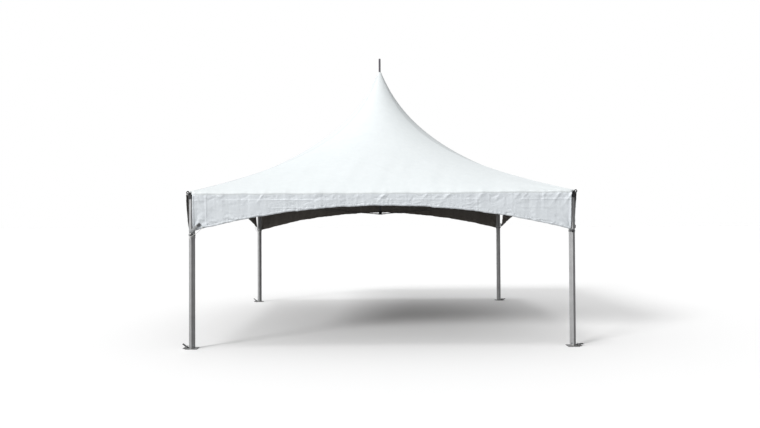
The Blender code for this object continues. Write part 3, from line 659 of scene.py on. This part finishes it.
TOP_SOILED = (0.65, 0.685, 0.695, 1.0)
# The lining's tones are painted shade: a dark grey-brown for the shade inside the tent.
LINING_SHADE_DARK = (0.22, 0.20, 0.182, 1.0)
LINING_SHADE_LIGHT = (0.35, 0.322, 0.292, 1.0)
CLOUDS_FINENESS, CRUMPLE_FINENESS, CLOTH_THREADS = 1.4, 8.0, 3100.0
STREAKS_FINENESS, STREAKS_DRAWN = 1.6, (7.0, 7.0, 0.8)


def cloth_height(u):
    """Height of the cloth at the share u from the peak to the eave: a log curve, steep at the peak."""
    return EAVE_HEIGHT + CURVE * np.log((1 + FLARE) / (u + FLARE))


def gore(u, s):
    """The front gore: plan square of half size u times the eave's, blended with its round outer circle
    by the share ROUNDNESS (1 - (u / ROUND_END) ^ ROUND_POWER), at the height of the log curve."""
    half = EAVE_HALF * u
    share = ROUNDNESS * np.clip(1 - (u / ROUND_END) ** ROUND_POWER, 0, 1)
    angle = s * math.pi / 4
    across = half * (s * (1 - share) + math.sqrt(2) * np.sin(angle) * share)
    out = half * ((1 - share) + math.sqrt(2) * np.cos(angle) * share)
    return columns(across, -out, cloth_height(u))


def waves(x, seed, longest, count=7):
    """A smooth uneven line between about -1 and 1: a sum of sines, each shorter and lower than the
    last."""
    rng = np.random.default_rng(seed)
    phases = rng.uniform(0, 2 * math.pi, count)
    spans = longest / 1.6 ** np.arange(count) * rng.uniform(0.85, 1.15, count)
    lows = 1 / 1.35 ** np.arange(count)
    x = np.asarray(x)[..., None]
    return (lows * np.sin(2 * math.pi * x / spans + phases)).sum(-1) / lows.sum() * 1.6


def step(value):
    """A smooth step from 0 to 1: 3 v^2 - 2 v^3 of the value kept between 0 and 1."""
    value = np.clip(value, 0, 1)
    return value * value * (3 - 2 * value)


def fading(v, reach):
    """A share that is 1 up to v = 0 and then dies away: exp(-v / reach)."""
    return np.exp(-np.clip(v, 0, None) / reach)


def hump(v, wide, power=2.0):
    """A hump of height 1 at v = 0: exp(-|v / wide| ^ power)."""
    return np.exp(-(np.abs(v / wide) ** power))


def folds_of(side):
    """Folds of one side as rows of place, lean, width, reach and rise. Short ones start at the eave; a
    few soft ones hang the full height. The front's own follow the photograph."""
    rng = np.random.default_rng(EAVE_SEED + 60 + side)
    share = 0.4 if side == 0 else 1.0
    places = np.linspace(-FOLDS_HALF, FOLDS_HALF, SHORT_FOLDS) + rng.uniform(-0.11, 0.11, SHORT_FOLDS)
    short = columns(places, rng.uniform(-0.9, -0.2, SHORT_FOLDS), rng.uniform(0.014, 0.026, SHORT_FOLDS),
                    rng.uniform(0.05, 0.12, SHORT_FOLDS), share * rng.uniform(-0.004, 0.016, SHORT_FOLDS))
    tall = columns(rng.uniform(-FOLDS_HALF, FOLDS_HALF, LONG_FOLDS), rng.uniform(-0.12, 0.12, LONG_FOLDS),
                   rng.uniform(0.03, 0.08, LONG_FOLDS), 1.5,
                   (0.6 + 0.4 * share) * rng.uniform(-0.006, 0.008, LONG_FOLDS))
    both = np.concatenate([short, tall])
    return np.concatenate([both, np.array(FRONT_FOLDS)]) if side == 0 else both


def creases_of(side):
    """Places of the upright fold lines that packing left in one side."""
    rng = np.random.default_rng(EAVE_SEED + 80 + side)
    return FRONT_CREASES if side == 0 else rng.uniform(-2.8, 2.8, 5)


def slack(x, h, side):
    """How far the cloth of a side stands out, at x along the eave and h below it. Folds are
    rise * exp(-|x - place - lean h| / width, to the power 1.5) * exp(-h / reach); under the eave the
    cloth closes on the rail and steps out again; faint straight creases cross it. Above the eave,
    h < 0, it is the looseness of the top's margin, which dies away up the slope."""
    place, lean, width, reach, rise = folds_of(side).T
    above = h < 0
    away = np.where(above, -2.2 * h, h)[..., None] / np.minimum(reach, np.where(above, 0.1, 9)[..., None])
    folds = rise * hump(x[..., None] - place - lean * h[..., None], width, 1.5) * np.exp(-away)
    out = folds.sum(-1) * (0.35 + 0.65 * step(np.abs(h) / FOLDS_FULL))
    down = np.clip(h, 0, 9)
    out += EAVE_WAVE * waves(x, EAVE_SEED + side, 1.1) * np.exp(-np.abs(h) / np.where(above, 0.08, 0.5))
    ridge = np.clip(0.35 + 0.8 * waves(x, 31 + side, 2.3, 4), 0.05, 1)
    if side == 0:
        ridge = np.maximum(0.6 * ridge, step((x + 2.62) / 0.2) * step((-0.45 - x) / 0.35))
    out += RIDGE_RISE * ridge * step((down - RAIL_FOOT) / 0.020) * fading(down - RIDGE_DOWN, 0.16)
    blotches = waves(x + 0.3 * waves(h, 45, 0.35, 3), 41 + side, 0.8, 5)
    blotches = blotches * waves(h + 0.1 * waves(x, 47, 0.5, 3), 49, 0.45, 3)
    out += BLOTCH_RISE * blotches * step(down / 0.05)
    if side == 0:
        gathers = waves(x, 57, 0.06, 3) * step((GATHER_END - x) / 0.12)
        out += GATHER_RISE * gathers * hump(down - FOLDS_FULL, 0.03)
    for level in CREASES_DOWN:
        bend = step(waves(x, 51 + side, 2.1, 3) * 2 + 0.3)
        out += CREASE_RISE * bend * hump(h - level, CREASE_WIDE, 1.3)
    for line in creases_of(side):
        out += UPRIGHT_RISE * hump(x - line - 0.01 * h, CREASE_WIDE, 1.3) * step(down / 0.06)
    return np.where(h < 0.001, np.maximum(out, -0.007), out)


def eave_drop(x, side):
    """How far the eave line rises or dips along it; the front's is drawn up towards the right."""
    rise = 0.012 * step((x - 0.8) / 1.2) - 0.004 if side == 0 else 0.0
    return rise + 0.005 * waves(x, EAVE_SEED + 10 + side, 0.7)


def roof_cloth(u, s, side):
    """The gore with the set of the cloth: the slack of the margin near the eave, folds that fan from
    the corner tips, a sine of the angle about the tip that fades with the distance, and a long slack
    across the slope; all of them fade to nothing on the hips."""
    points = gore(u, s)
    x, out = points[..., 0], -points[..., 1]
    inward = EAVE_HALF - BEND * 0.7 - out
    hips = step((1 - np.abs(s)) * EAVE_HALF * u / HIP_KEEP)
    loose = slack(x, np.minimum(-inward, 0), side) * hips * fading(inward, 0.25)
    points[..., 1] -= loose * math.sin(EAVE_SLOPE)
    points[..., 2] += loose * math.cos(EAVE_SLOPE) + eave_drop(x, side) * fading(inward, 0.06) * hips
    for way in (-1, 1):
        away = np.hypot(way * TIP - x, TIP - out)
        angle = np.arctan2(EAVE_HALF - out, np.abs(way * EAVE_HALF - x) + 1e-6)
        fan = np.sin(15 * angle + 1.3 * way + side) * fading(away, FAN_REACH) * step(away / 0.12)
        points[..., 2] += FAN_RISE * fan * hips * step(inward / 0.05)
    sag = np.sin(math.pi * np.clip(inward / SAG_REACH, 0, 1)) * (1 - s**2)
    points[..., 2] += SAG * sag * waves(x + 0.3 * out, EAVE_SEED + 20 + side, 1.3, 4)
    return points


def carried(points, u, side):
    """Points of the front carried round to a side, in quarter turns about the middle, with the small
    lean of the whole top to the left, which is a half sine of the share u."""
    placed = moved(points, spin(90 * side, "Z"))
    placed[..., 0] += ROOF_LEAN * np.sin(math.pi * np.clip(u, 0, 1)) ** 1.5
    return placed


def roof_gore(side):
    """One gore as a grid with its eave turned down: u runs to the bend, or to the line across the
    corner tip, with its rows closer at the peak and at the eave, t^1.5 (1.6 - 0.6 t^2). The bend is an
    arc about a line under the cloth, wider by the slack, and the lip then hangs straight outside the
    valance."""
    even = np.linspace(-1, 1, ROOF_COLUMNS + 1)[None, :]
    s = 0.4 * np.sin(even * math.pi / 2) + 0.6 * even
    start = math.pi / 2 - EAVE_SLOPE
    back = BEND * (1 - math.cos(start)) / EAVE_HALF
    last = np.minimum(1 - back, 2 * TIP / EAVE_HALF / (1 + np.abs(s)) - back)
    t = np.linspace(0, 1, ROOF_ROWS)[:, None]
    u = PEAK_U + (last - PEAK_U) * t**1.5 * (1.6 - 0.6 * t**2)
    across = np.broadcast_to(s, u.shape)
    points = roof_cloth(u, across, side)
    flat = gore(u[-1:], across[-1:])[0]
    turn = np.sign(s[0]) * math.pi / 4 * step((1 - back - last[0]) / 0.004)
    outward = columns(np.sin(turn), -np.cos(turn), 0)
    up = np.array([0.0, 0.0, 1.0])
    middle = flat - BEND * (math.cos(start) * outward + math.sin(start) * up)
    lap = VALANCE_TOP - middle[:, 2]
    hips = step((1 - np.abs(s[0])) * EAVE_HALF / HIP_KEEP)
    middle[:, 2] += eave_drop(flat[:, 0], side) * hips
    rows = []
    for angle in np.linspace(start, 0, 6)[1:]:
        wide = BEND + slack(flat[:, 0], 0 * flat[:, 0], side) * hips
        rows.append(middle + wide[:, None] * (math.cos(angle) * outward + math.sin(angle) * up))
    for down in (0.003, 0.006, 0.009, LIP_DOWN):
        h = lap + down
        wide = BEND - VALANCE_PULL * h / VALANCE_DROP + slack(flat[:, 0], np.maximum(h, 0), side) * hips
        rows.append(middle + wide[:, None] * outward - (0, 0, down))
    points = np.concatenate([points, np.stack(rows)])
    u = np.concatenate([u, np.ones((len(rows), u.shape[1]))])
    run = lengths(points[:, ROOF_COLUMNS // 2])
    return carried(points, u, side), columns(points[..., 0], run[:, None]), 0


cloth_marks, given, made = effect("cloth_marks", {"Place": None}, "Clouds", "Streaks", "Crumple")
clouds = noise(cloth_marks, given["Place"], CLOUDS_FINENESS, 5.0, Roughness=0.62)
cloth_marks.links.new(spread(cloth_marks, clouds, -0.5, 1.5), made["Clouds"])
drawn = node(cloth_marks, "VectorMath", {0: given["Place"], 1: STREAKS_DRAWN}, operation="MULTIPLY")
streaks = noise(cloth_marks, drawn.outputs[0], STREAKS_FINENESS, 4.0)
cloth_marks.links.new(spread(cloth_marks, streaks, -0.7, 1.7), made["Streaks"])
crumple = noise(cloth_marks, given["Place"], CRUMPLE_FINENESS, 5.0, Distortion=0.2)
cloth_marks.links.new(crumple, made["Crumple"])


def coated_cloth(name, clean, soil_tone, roughness, crumples=0.0038):
    """Coated cloth: clouds and run-down streaks of soil, a soft crumple, and a fine weave under the
    coat."""
    made, tree, shader, place = material(name, roughness)
    marks = use(tree, cloth_marks, Place=place["Object"])
    soil = node(tree, "Mix", {0: 0.45, 2: marks["Clouds"], 3: marks["Streaks"]}).outputs[0]
    tree.links.new(between(tree, clean, soil_tone, soil), shader.inputs["Base Color"])
    shine = spread(tree, marks["Clouds"], roughness - 0.06, roughness + 0.1)
    tree.links.new(shine, shader.inputs["Roughness"])
    threads = use(tree, weave, Chart=place["UV"], Threads=CLOTH_THREADS)["Height"]
    fine = reckon(tree, "MULTIPLY", threads, 0.010)
    relief(tree, shader, reckon(tree, "ADD", fine, marks["Crumple"]), crumples)
    return made


def thicken(cloth):
    """Give a sheet its thickness inward, with the lining as its second skin."""
    wall = cloth.modifiers.new("thickness", "SOLIDIFY")
    wall.thickness = CLOTH_THICK
    wall.offset = -1.0
    wall.material_offset = 1
    wall.use_even_offset = False


roof_white = coated_cloth("roof_cloth", TOP_CLEAN, TOP_SOILED, roughness=0.55, crumples=0.0035)
# Painted shade: the lining paints the inside of the cloth dark.
shaded_lining = coated_cloth("cloth_lining_painted_shade", LINING_SHADE_LIGHT, LINING_SHADE_DARK, roughness=0.62)
roof = piece("cloth_top", [roof_white, shaded_lining], [roof_gore(side) for side in range(4)],
             sheet=True, sharp=75)
thicken(roof)
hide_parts(*[f"roof_panel_{side}" for side in SIDES])


# Hip welds. Where two gores meet, the cloth laps, and a tape of the same coated stuff is welded over
# the lap, from the peak to the corner tip.
TAPE_HALF, TAPE_RISE, TAPE_SUNK = 0.020, 0.0014, 0.0005
TAPE_ROWS = 110
# The tape's tones are a little greyer than the top's, though it is the same coated stuff: painted shade along
# the weld lines.
SEAM_CLEAN_SHADED = (0.67, 0.705, 0.715, 1.0)
SEAM_SOILED_SHADED = (0.57, 0.60, 0.61, 1.0)


def hip_tape(side):
    """A low strip along a hip, closed: its outer face rises TAPE_RISE (1 - k^6) over the cloth, with k
    from 0 on the hip to 1 at its edge, and its inner face lies in the cloth."""
    t = np.linspace(0, 1, TAPE_ROWS)[:, None]
    start, end = PEAK_U * 2.2, TIP / EAVE_HALF
    u = start + (end - start) * t**1.5
    k = np.linspace(0, 1, 5)[None, :]
    reach = np.clip(TAPE_HALF * k / (EAVE_HALF * u), 0, 0.9)
    wide = np.broadcast_to(u, reach.shape)
    first = carried(roof_cloth(wide, 1 - reach, side), wide, side)
    second = carried(roof_cloth(wide, reach - 1, (side + 1) % 4), wide, side + 1)
    points = np.concatenate([first[:, :0:-1], second], axis=1)
    rise = TAPE_RISE * (1 - k**6)
    rise = np.broadcast_to(np.concatenate([rise[:, :0:-1], rise], axis=1), points.shape[:2])
    normal = np.cross(np.gradient(points, axis=0), np.gradient(points, axis=1))
    normal /= np.linalg.norm(normal, axis=-1, keepdims=True)
    top = points + normal * rise[..., None]
    low = points - normal * TAPE_SUNK
    skin = np.concatenate([top, low[:, ::-1], top[:, :1]], axis=1)
    ends = [np.repeat(row.mean(0, keepdims=True), len(row), 0)[None] for row in (skin[0], skin[-1])]
    skin = np.concatenate([ends[0], skin, ends[1]])
    return skin, columns(np.linspace(0, 4 * TAPE_HALF, skin.shape[1]), lengths(skin[:, 4])[:, None]), 0


# Painted shade: the greyer tape draws a shade line along each hip.
seam_shaded = coated_cloth("seam_tape_painted_shade", SEAM_CLEAN_SHADED, SEAM_SOILED_SHADED, roughness=0.55)
tapes = piece("hip_tapes", [seam_shaded], [hip_tape(side) for side in range(4)], sharp=75)


# Valances. Hanging sides of the same cloth, welded in under the lip of the top: a hem turned up along
# the arch and the ends, sewn with one row of thread, and left loose between the corner ties.
VALANCE_HALF, VALANCE_SET, LAP_END = 2.965, 0.0017, 0.0134
ARCH_CROWN, ARCH_RISE, ARCH_HALF = 2.222, 0.382, 2.95
HEM_HIGH, HEM_THICK, END_HEM = 0.045, 0.0024, 0.030
STITCH_LINE, FURROW, PUCKER = 0.038, 0.0030, 0.0022
HEM_WAVE, HEM_ROLL, END_BEAD = 0.0035, 0.010, 0.006
CORNER_PULL, CORNER_REACH = 0.030, 0.10
TIE_FAN, TIE_FAN_REACH = 0.010, 0.17
BILLOW = (0.0, 0.030, 0.0, 0.006)
RIGHT_PULL, LEFT_SLACK, LOWER_WAVE = 0.016, 0.015, 0.005
BACK_LOWER, BACK_ENDS, BACK_CORNER = 0.012, 0.018, 0.025
SPAN_COLUMNS, MIDDLE_ROWS = 640, 20
# The valances' tones are lighter and a little bluer than the top's, though it is the same cloth: painted
# light, which lifts the upright sides that the lamps reach less.
SIDE_CLEAN_PAINTED_LIGHT = (0.745, 0.785, 0.815, 1.0)
SIDE_SOILED_PAINTED_LIGHT = (0.675, 0.710, 0.745, 1.0)
THREAD_TONE = (0.40, 0.41, 0.42, 1.0)
STITCH = 0.011
THREAD_RADIUS = 0.0008


def arch_height(x):
    """Lower edge of a valance: a parabola that drops from the crown to the legs."""
    return ARCH_CROWN - ARCH_RISE * (x / ARCH_HALF) ** 2


def valance_cloth(x, h, side):
    """A valance at x along it and h down from its top: the side's slack, a soft billow, the pull of the
    ties, which draws the lower corners in and fans folds from them, and the doubled hem with the
    furrow of its stitches; the lower edge waves a little up and down. Beside the front corners the
    right side is drawn in and the left stands out, and the back's lower edge hangs a little lower."""
    drop = VALANCE_TOP - arch_height(x)
    above = np.maximum(drop - h, 0)
    to_end = VALANCE_HALF - np.abs(x)
    to_corner = np.hypot(to_end, above)
    angle = np.arctan2(above, to_end + 1e-6)
    fan = np.sin(9 * angle + side) * fading(to_corner, TIE_FAN_REACH)
    fan = fan * step(above / 0.05) * step(to_end / 0.02)
    out = slack(x, h, side) - VALANCE_SET * step((LAP_END + 0.002 - h) / 0.0016)
    out += BILLOW[side] * step(h / 0.3) * step((x + 3.4) / 5)
    out += TIE_FAN * fan - CORNER_PULL * fading(to_corner, CORNER_REACH)
    out += HEM_THICK * np.maximum(step((HEM_HIGH - above) / 0.003), step((END_HEM - to_end) / 0.004))
    furrow = FURROW * (1 + 0.35 * waves(x, 71 + side, 0.10, 3))
    out -= furrow * hump(above - STITCH_LINE, 0.006) * step((to_end - END_HEM) / 0.01)
    out += END_BEAD * hump(to_end - 0.013, 0.009) * step(h / 0.05)
    out += HEM_WAVE * waves(x, 65 + side, 0.35, 4) * fading(above, 0.05) - HEM_ROLL * fading(above, 0.006)
    out += PUCKER * waves(x, 73 + side, 0.12, 3) * hump(above - STITCH_LINE, 0.018)
    if side == 1:
        out -= RIGHT_PULL * fading(VALANCE_HALF + x, 0.15) * np.sin(math.pi * np.clip(h / 0.6, 0, 1))
    if side == 3:
        out += LEFT_SLACK * fading(to_end, 0.15) * np.clip(1 - h / 0.35, 0, 1) * (x > 0)
    z = VALANCE_TOP + eave_drop(x, side) * fading(h - LAP_END, 0.05) - h
    z += LOWER_WAVE * waves(x, 61 + side, 0.6, 5) * step(h / drop) * step(to_end / 0.3)
    if side == 2:
        lower = BACK_LOWER + BACK_ENDS * np.clip(np.abs(x) / 1.2, 0, 1)
        lower = lower + BACK_CORNER * step((x - 1.9) / 0.8)
        z -= lower * step(h / drop)
    return columns(x, VALANCE_PULL * h / VALANCE_DROP - EAVE_HALF - out, z)


def valance_grid(side):
    """The valance as a grid: fine columns in the end hems, fine rows under the eave and in the hem."""
    ends = np.array([0, 0.004, 0.008, 0.012, 0.016, 0.020, 0.024, 0.027, 0.030, 0.034, 0.040])
    middle = np.linspace(-VALANCE_HALF + 0.048, VALANCE_HALF - 0.048, SPAN_COLUMNS)
    x = np.concatenate([ends - VALANCE_HALF, middle, VALANCE_HALF - ends[::-1]])
    top = np.array([0, 0.006, LAP_END, LAP_END + 0.0004, LAP_END + 0.001, LAP_END + 0.002, 0.021, 0.030,
                    0.040, 0.050, 0.060, 0.070, 0.077, 0.081, 0.085, 0.089, 0.094, 0.100, 0.108])[:, None]
    hem = np.array([0.058, 0.050, 0.0465, 0.0440, 0.0415, 0.0390, 0.0365, 0.0335, 0.030, 0.025, 0.016, 0.008,
                    0.0])[:, None]
    drop = VALANCE_TOP - arch_height(x)
    share = np.linspace(0, 1, MIDDLE_ROWS + 2)[1:-1, None]
    start, end = top[-1], drop - hem[0]
    h = np.concatenate([np.broadcast_to(top, (len(top), len(x))), start + share * (end - start), drop - hem])
    x = np.broadcast_to(x, h.shape)
    return moved(valance_cloth(x, h, side), spin(90 * side, "Z")), columns(x, h), 0


def hem_thread(side):
    """A thread along the hem: it lies in the furrow and dips in and out of the cloth once a stitch."""
    x = np.arange(-VALANCE_HALF + END_HEM, VALANCE_HALF - END_HEM, STITCH / 4)
    points = valance_cloth(x, VALANCE_TOP - arch_height(x) - STITCH_LINE, side)
    points[..., 1] -= 0.0005 + 0.0011 * np.sin(2 * math.pi * x / STITCH)
    return swept(points, disc(THREAD_RADIUS, 5), (0, -1, 0), place=spin(90 * side, "Z"))


# Painted light: the valance cloth is brighter than the top's to lift the upright sides.
side_white_painted_light = coated_cloth("valance_cloth", SIDE_CLEAN_PAINTED_LIGHT, SIDE_SOILED_PAINTED_LIGHT, roughness=0.5)
thread, tree, shader, place = material("thread", roughness=0.8)
twist = use(tree, mottle, Place=place["Object"], Fineness=400.0)["Patches"]
tree.links.new(between(tree, THREAD_TONE, SIDE_SOILED_PAINTED_LIGHT, twist), shader.inputs["Base Color"])
for side, name in enumerate(SIDES):
    hanging = piece(f"hanging_{name}", [side_white_painted_light, shaded_lining], [valance_grid(side)],
                    sheet=True, sharp=75)
    thicken(hanging)
    stitches = piece(f"hem_thread_{name}", [thread], [hem_thread(side)])
    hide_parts(f"valance_{name}")


# Corner ties. A webbing band round the leg with an arm up to each valance. On the right legs a black
# cam buckle closes it. On the left legs a wide strap comes over the corner of the valance, and a white
# cord is lashed above and below the band and runs to an eyelet in a hem.
TIE_LEVEL = {"front_left": 1.765, "front_right": 1.800, "back_right": 1.800, "back_left": 1.765}
TIE_HIGH, TIE_THICK, TIE_REACH = 0.025, 0.003, 0.0535
TIE_HEAD, TIE_WIDE = 2.942, 0.034
ARM_FOOT, ARM_BACK, ARM_HIGH, ARM_SAG = 0.028, 0.026, 0.008, (0, 0.006, -0.006)
BUCKLE_EASED, LEVER_EASED = 0.002, 0.003
BAND_BUCKLE = (((-0.018, -0.020, -0.004), (0.018, 0.020, 0.006)),
               ((-0.022, -0.014, 0.003), (0.022, 0.014, 0.010)))
CAM_BACK, CAM_HIGH = 0.030, 0.045
CAM_BASE = ((-0.040, -0.021, -0.004), (0.040, 0.021, 0.006))
CAM_LEVER = ((-0.020, -0.024, 0.004), (0.030, 0.024, 0.016))
STRAP_WIDE = 0.042
STRAP_FACE = EAVE_HALF - 0.014
STRAP_STOPS = (  # along from the leg, out from the face of the valance, and up from the band
    (-0.140, 0.004, 0.168), (-0.085, 0.006, 0.128), (-0.035, 0.004, 0.080), (0, -0.011, 0.046),
    (0.018, -0.033, 0.022))
LADDER_AT, LADDER_LEAN = (-0.125, 0.008, 0.157), 38
LADDER = tuple(((x0, y0, -0.003), (x1, y1, 0.005)) for x0, x1, y0, y1 in (
    (-0.020, -0.012, -0.024, 0.024), (-0.003, 0.003, -0.024, 0.024), (0.012, 0.020, -0.024, 0.024),
    (-0.020, 0.020, -0.026, -0.020), (-0.020, 0.020, 0.020, 0.026)))
CORD_RADIUS = 0.0034
LASHINGS = ((0.014, 0.0), (-0.022, 0.010))  # start over the band, and fall in each half turn
KNOTS = ((0.060, -0.026), (0.056, 0.016))  # out from the leg, and over the band
KNOT = ((0, -0.011), (0.008, -0.009), (0.012, 0), (0.008, 0.009), (0, 0.011))
EYELET_IN, EYELET_UP, EYELET_RADIUS = 0.19, 0.018, 0.009
CORD_TONE = (0.80, 0.80, 0.78, 1.0)
CORD_SHADE = (0.62, 0.62, 0.60, 1.0)


def round_leg(angle, reach, softness=1.12):
    """A ring round a corner-on square tube: |x|^p + |y|^p = reach^p, near a diamond with soft points."""
    radius = reach / (np.abs(np.cos(angle)) ** softness + np.abs(np.sin(angle)) ** softness) ** (1 / softness)
    return columns(radius * np.cos(angle), radius * np.sin(angle), 0)


def flat_band(wide, thick):
    """Outline of webbing across its run: a rectangle with eased corners."""
    return [(wide / 2 * a, thick / 2 * b) for a, b in
            ((1, 0.6), (0.96, 1), (-0.96, 1), (-1, 0.6), (-1, -0.6), (-0.96, -1), (0.96, -1), (1, -0.6))]


def through(stops, count=26):
    """A smooth run through a few stops: a cubic curve whose slope at each stop is that of its
    neighbours."""
    stops = np.array(stops, float)
    slopes = np.gradient(stops, axis=0)
    t = np.linspace(0, len(stops) - 1, count)
    k = np.minimum(t.astype(int), len(stops) - 2)
    f = (t - k)[:, None]
    return ((1 + 2 * f) * (1 - f) ** 2 * stops[k] + f * (1 - f) ** 2 * slopes[k]
            + f * f * (3 - 2 * f) * stops[k + 1] + f * f * (f - 1) * slopes[k + 1])


def blocks(boxes, place, eased=BUCKLE_EASED):
    """The black parts of a buckle, each between its low and high corners."""
    return [block(low, high, place, eased, 1) for low, high in boxes]


cord_white, tree, shader, place = material("cord", roughness=0.8)
braid = use(tree, weave, Chart=place["UV"], Threads=1500.0)["Height"]
tree.links.new(between(tree, CORD_SHADE, CORD_TONE, braid), shader.inputs["Base Color"])
relief(tree, shader, braid, 0.0008)
hem_high = float(arch_height(TIE_HEAD))
for corner, (x, y) in CORNERS.items():
    middle = TIE_LEVEL[corner] + TIE_HIGH / 2
    at_leg = np.array((x * LEG_CENTRE, y * LEG_CENTRE, 0.0))
    ring = round_leg(np.linspace(0, 2 * math.pi, 65), TIE_REACH) + at_leg + (0, 0, middle)
    grids = [swept(ring, [(b, a) for a, b in flat_band(TIE_HIGH, TIE_THICK)], (0, 0, 1), loop=True)]
    for swap in (False, True):
        t = np.linspace(0, 1, 14)[:, None]
        start = np.array((LEG_CENTRE - ARM_FOOT, LEG_CENTRE + ARM_FOOT, middle))
        end = np.array((TIE_HEAD, EAVE_HALF - ARM_BACK, hem_high + ARM_HIGH))
        run = start + (end - start) * t + np.array(ARM_SAG) * np.sin(math.pi * t)
        run = (run[:, [1, 0, 2]] if swap else run) * (x, y, 1)
        grids.append(swept(run, flat_band(TIE_WIDE, TIE_THICK), (x, 0, 0) if swap else (0, y, 0)))
    grids += blocks(BAND_BUCKLE, shift(*at_leg) @ facing(90 * y, TIE_REACH, middle))
    if x > 0:
        beside = shift(EAVE_HALF - CAM_BACK, y * TIE_HEAD, hem_high + CAM_HIGH) @ facing(0, 0, 0)
        grids += blocks([CAM_BASE], beside) + blocks([CAM_LEVER], beside, LEVER_EASED)
    else:
        from_band = np.array((LEG_CENTRE, STRAP_FACE, middle))
        over = through(STRAP_STOPS + from_band) * (x, y, 1)
        grids.append(swept(over, flat_band(STRAP_WIDE, TIE_THICK), (0, y, 0)))
        ladder_place = shift(*(LADDER_AT + from_band) * (x, y, 1)) @ facing(90 * y, 0, 0)
        grids += blocks(LADDER, ladder_place @ spin(LADDER_LEAN * x * y, "Z"))
    tie = piece(f"tie_{corner}", [webbing, black_steel], grids, sharp=50)
    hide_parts(f"corner_tie_{corner}")
    if x > 0:
        continue
    grids = []
    turn = np.linspace(-0.5 * math.pi, 3.5 * math.pi, 140)
    for high, fall in LASHINGS:
        lashing = round_leg(turn, TIE_REACH + CORD_RADIUS - 0.002) + at_leg
        lashing[:, 2] += middle + high - fall * (turn - turn[0]) / math.pi
        grids.append(swept(lashing, disc(CORD_RADIUS, 10), (0, 0, 1)))
    for out, high in KNOTS:
        grids.append(turned(KNOT, shift(at_leg[0] - 0.008, at_leg[1] + y * out, middle + high), 16))
    eyelet_at = LEG_CENTRE - EYELET_IN
    line = through([(LEG_CENTRE + 0.004, LEG_CENTRE + 0.060, middle - 0.026),
                    (LEG_CENTRE - 0.09, EAVE_HALF - 0.006, middle + 0.026),
                    (eyelet_at, EAVE_HALF - 0.010, float(arch_height(eyelet_at)) + EYELET_UP)])
    line = (line[:, [1, 0, 2]] if y > 0 else line) * (x, y, 1)
    grids.append(swept(line, disc(CORD_RADIUS, 10), (0, 0.3, 1)))
    ring_at = shift(*line[-1]) @ facing(180 if y > 0 else -90, 0, 0)
    bend = np.linspace(0, 2 * math.pi, 9)
    eyelet = [(EYELET_RADIUS + 0.0035 * math.cos(a), 0.0025 * math.sin(a)) for a in bend]
    grids.append(turned(eyelet, ring_at, 20, 1))
    piece(f"lashing_{corner}", [cord_white, bright_steel], grids, sharp=60)
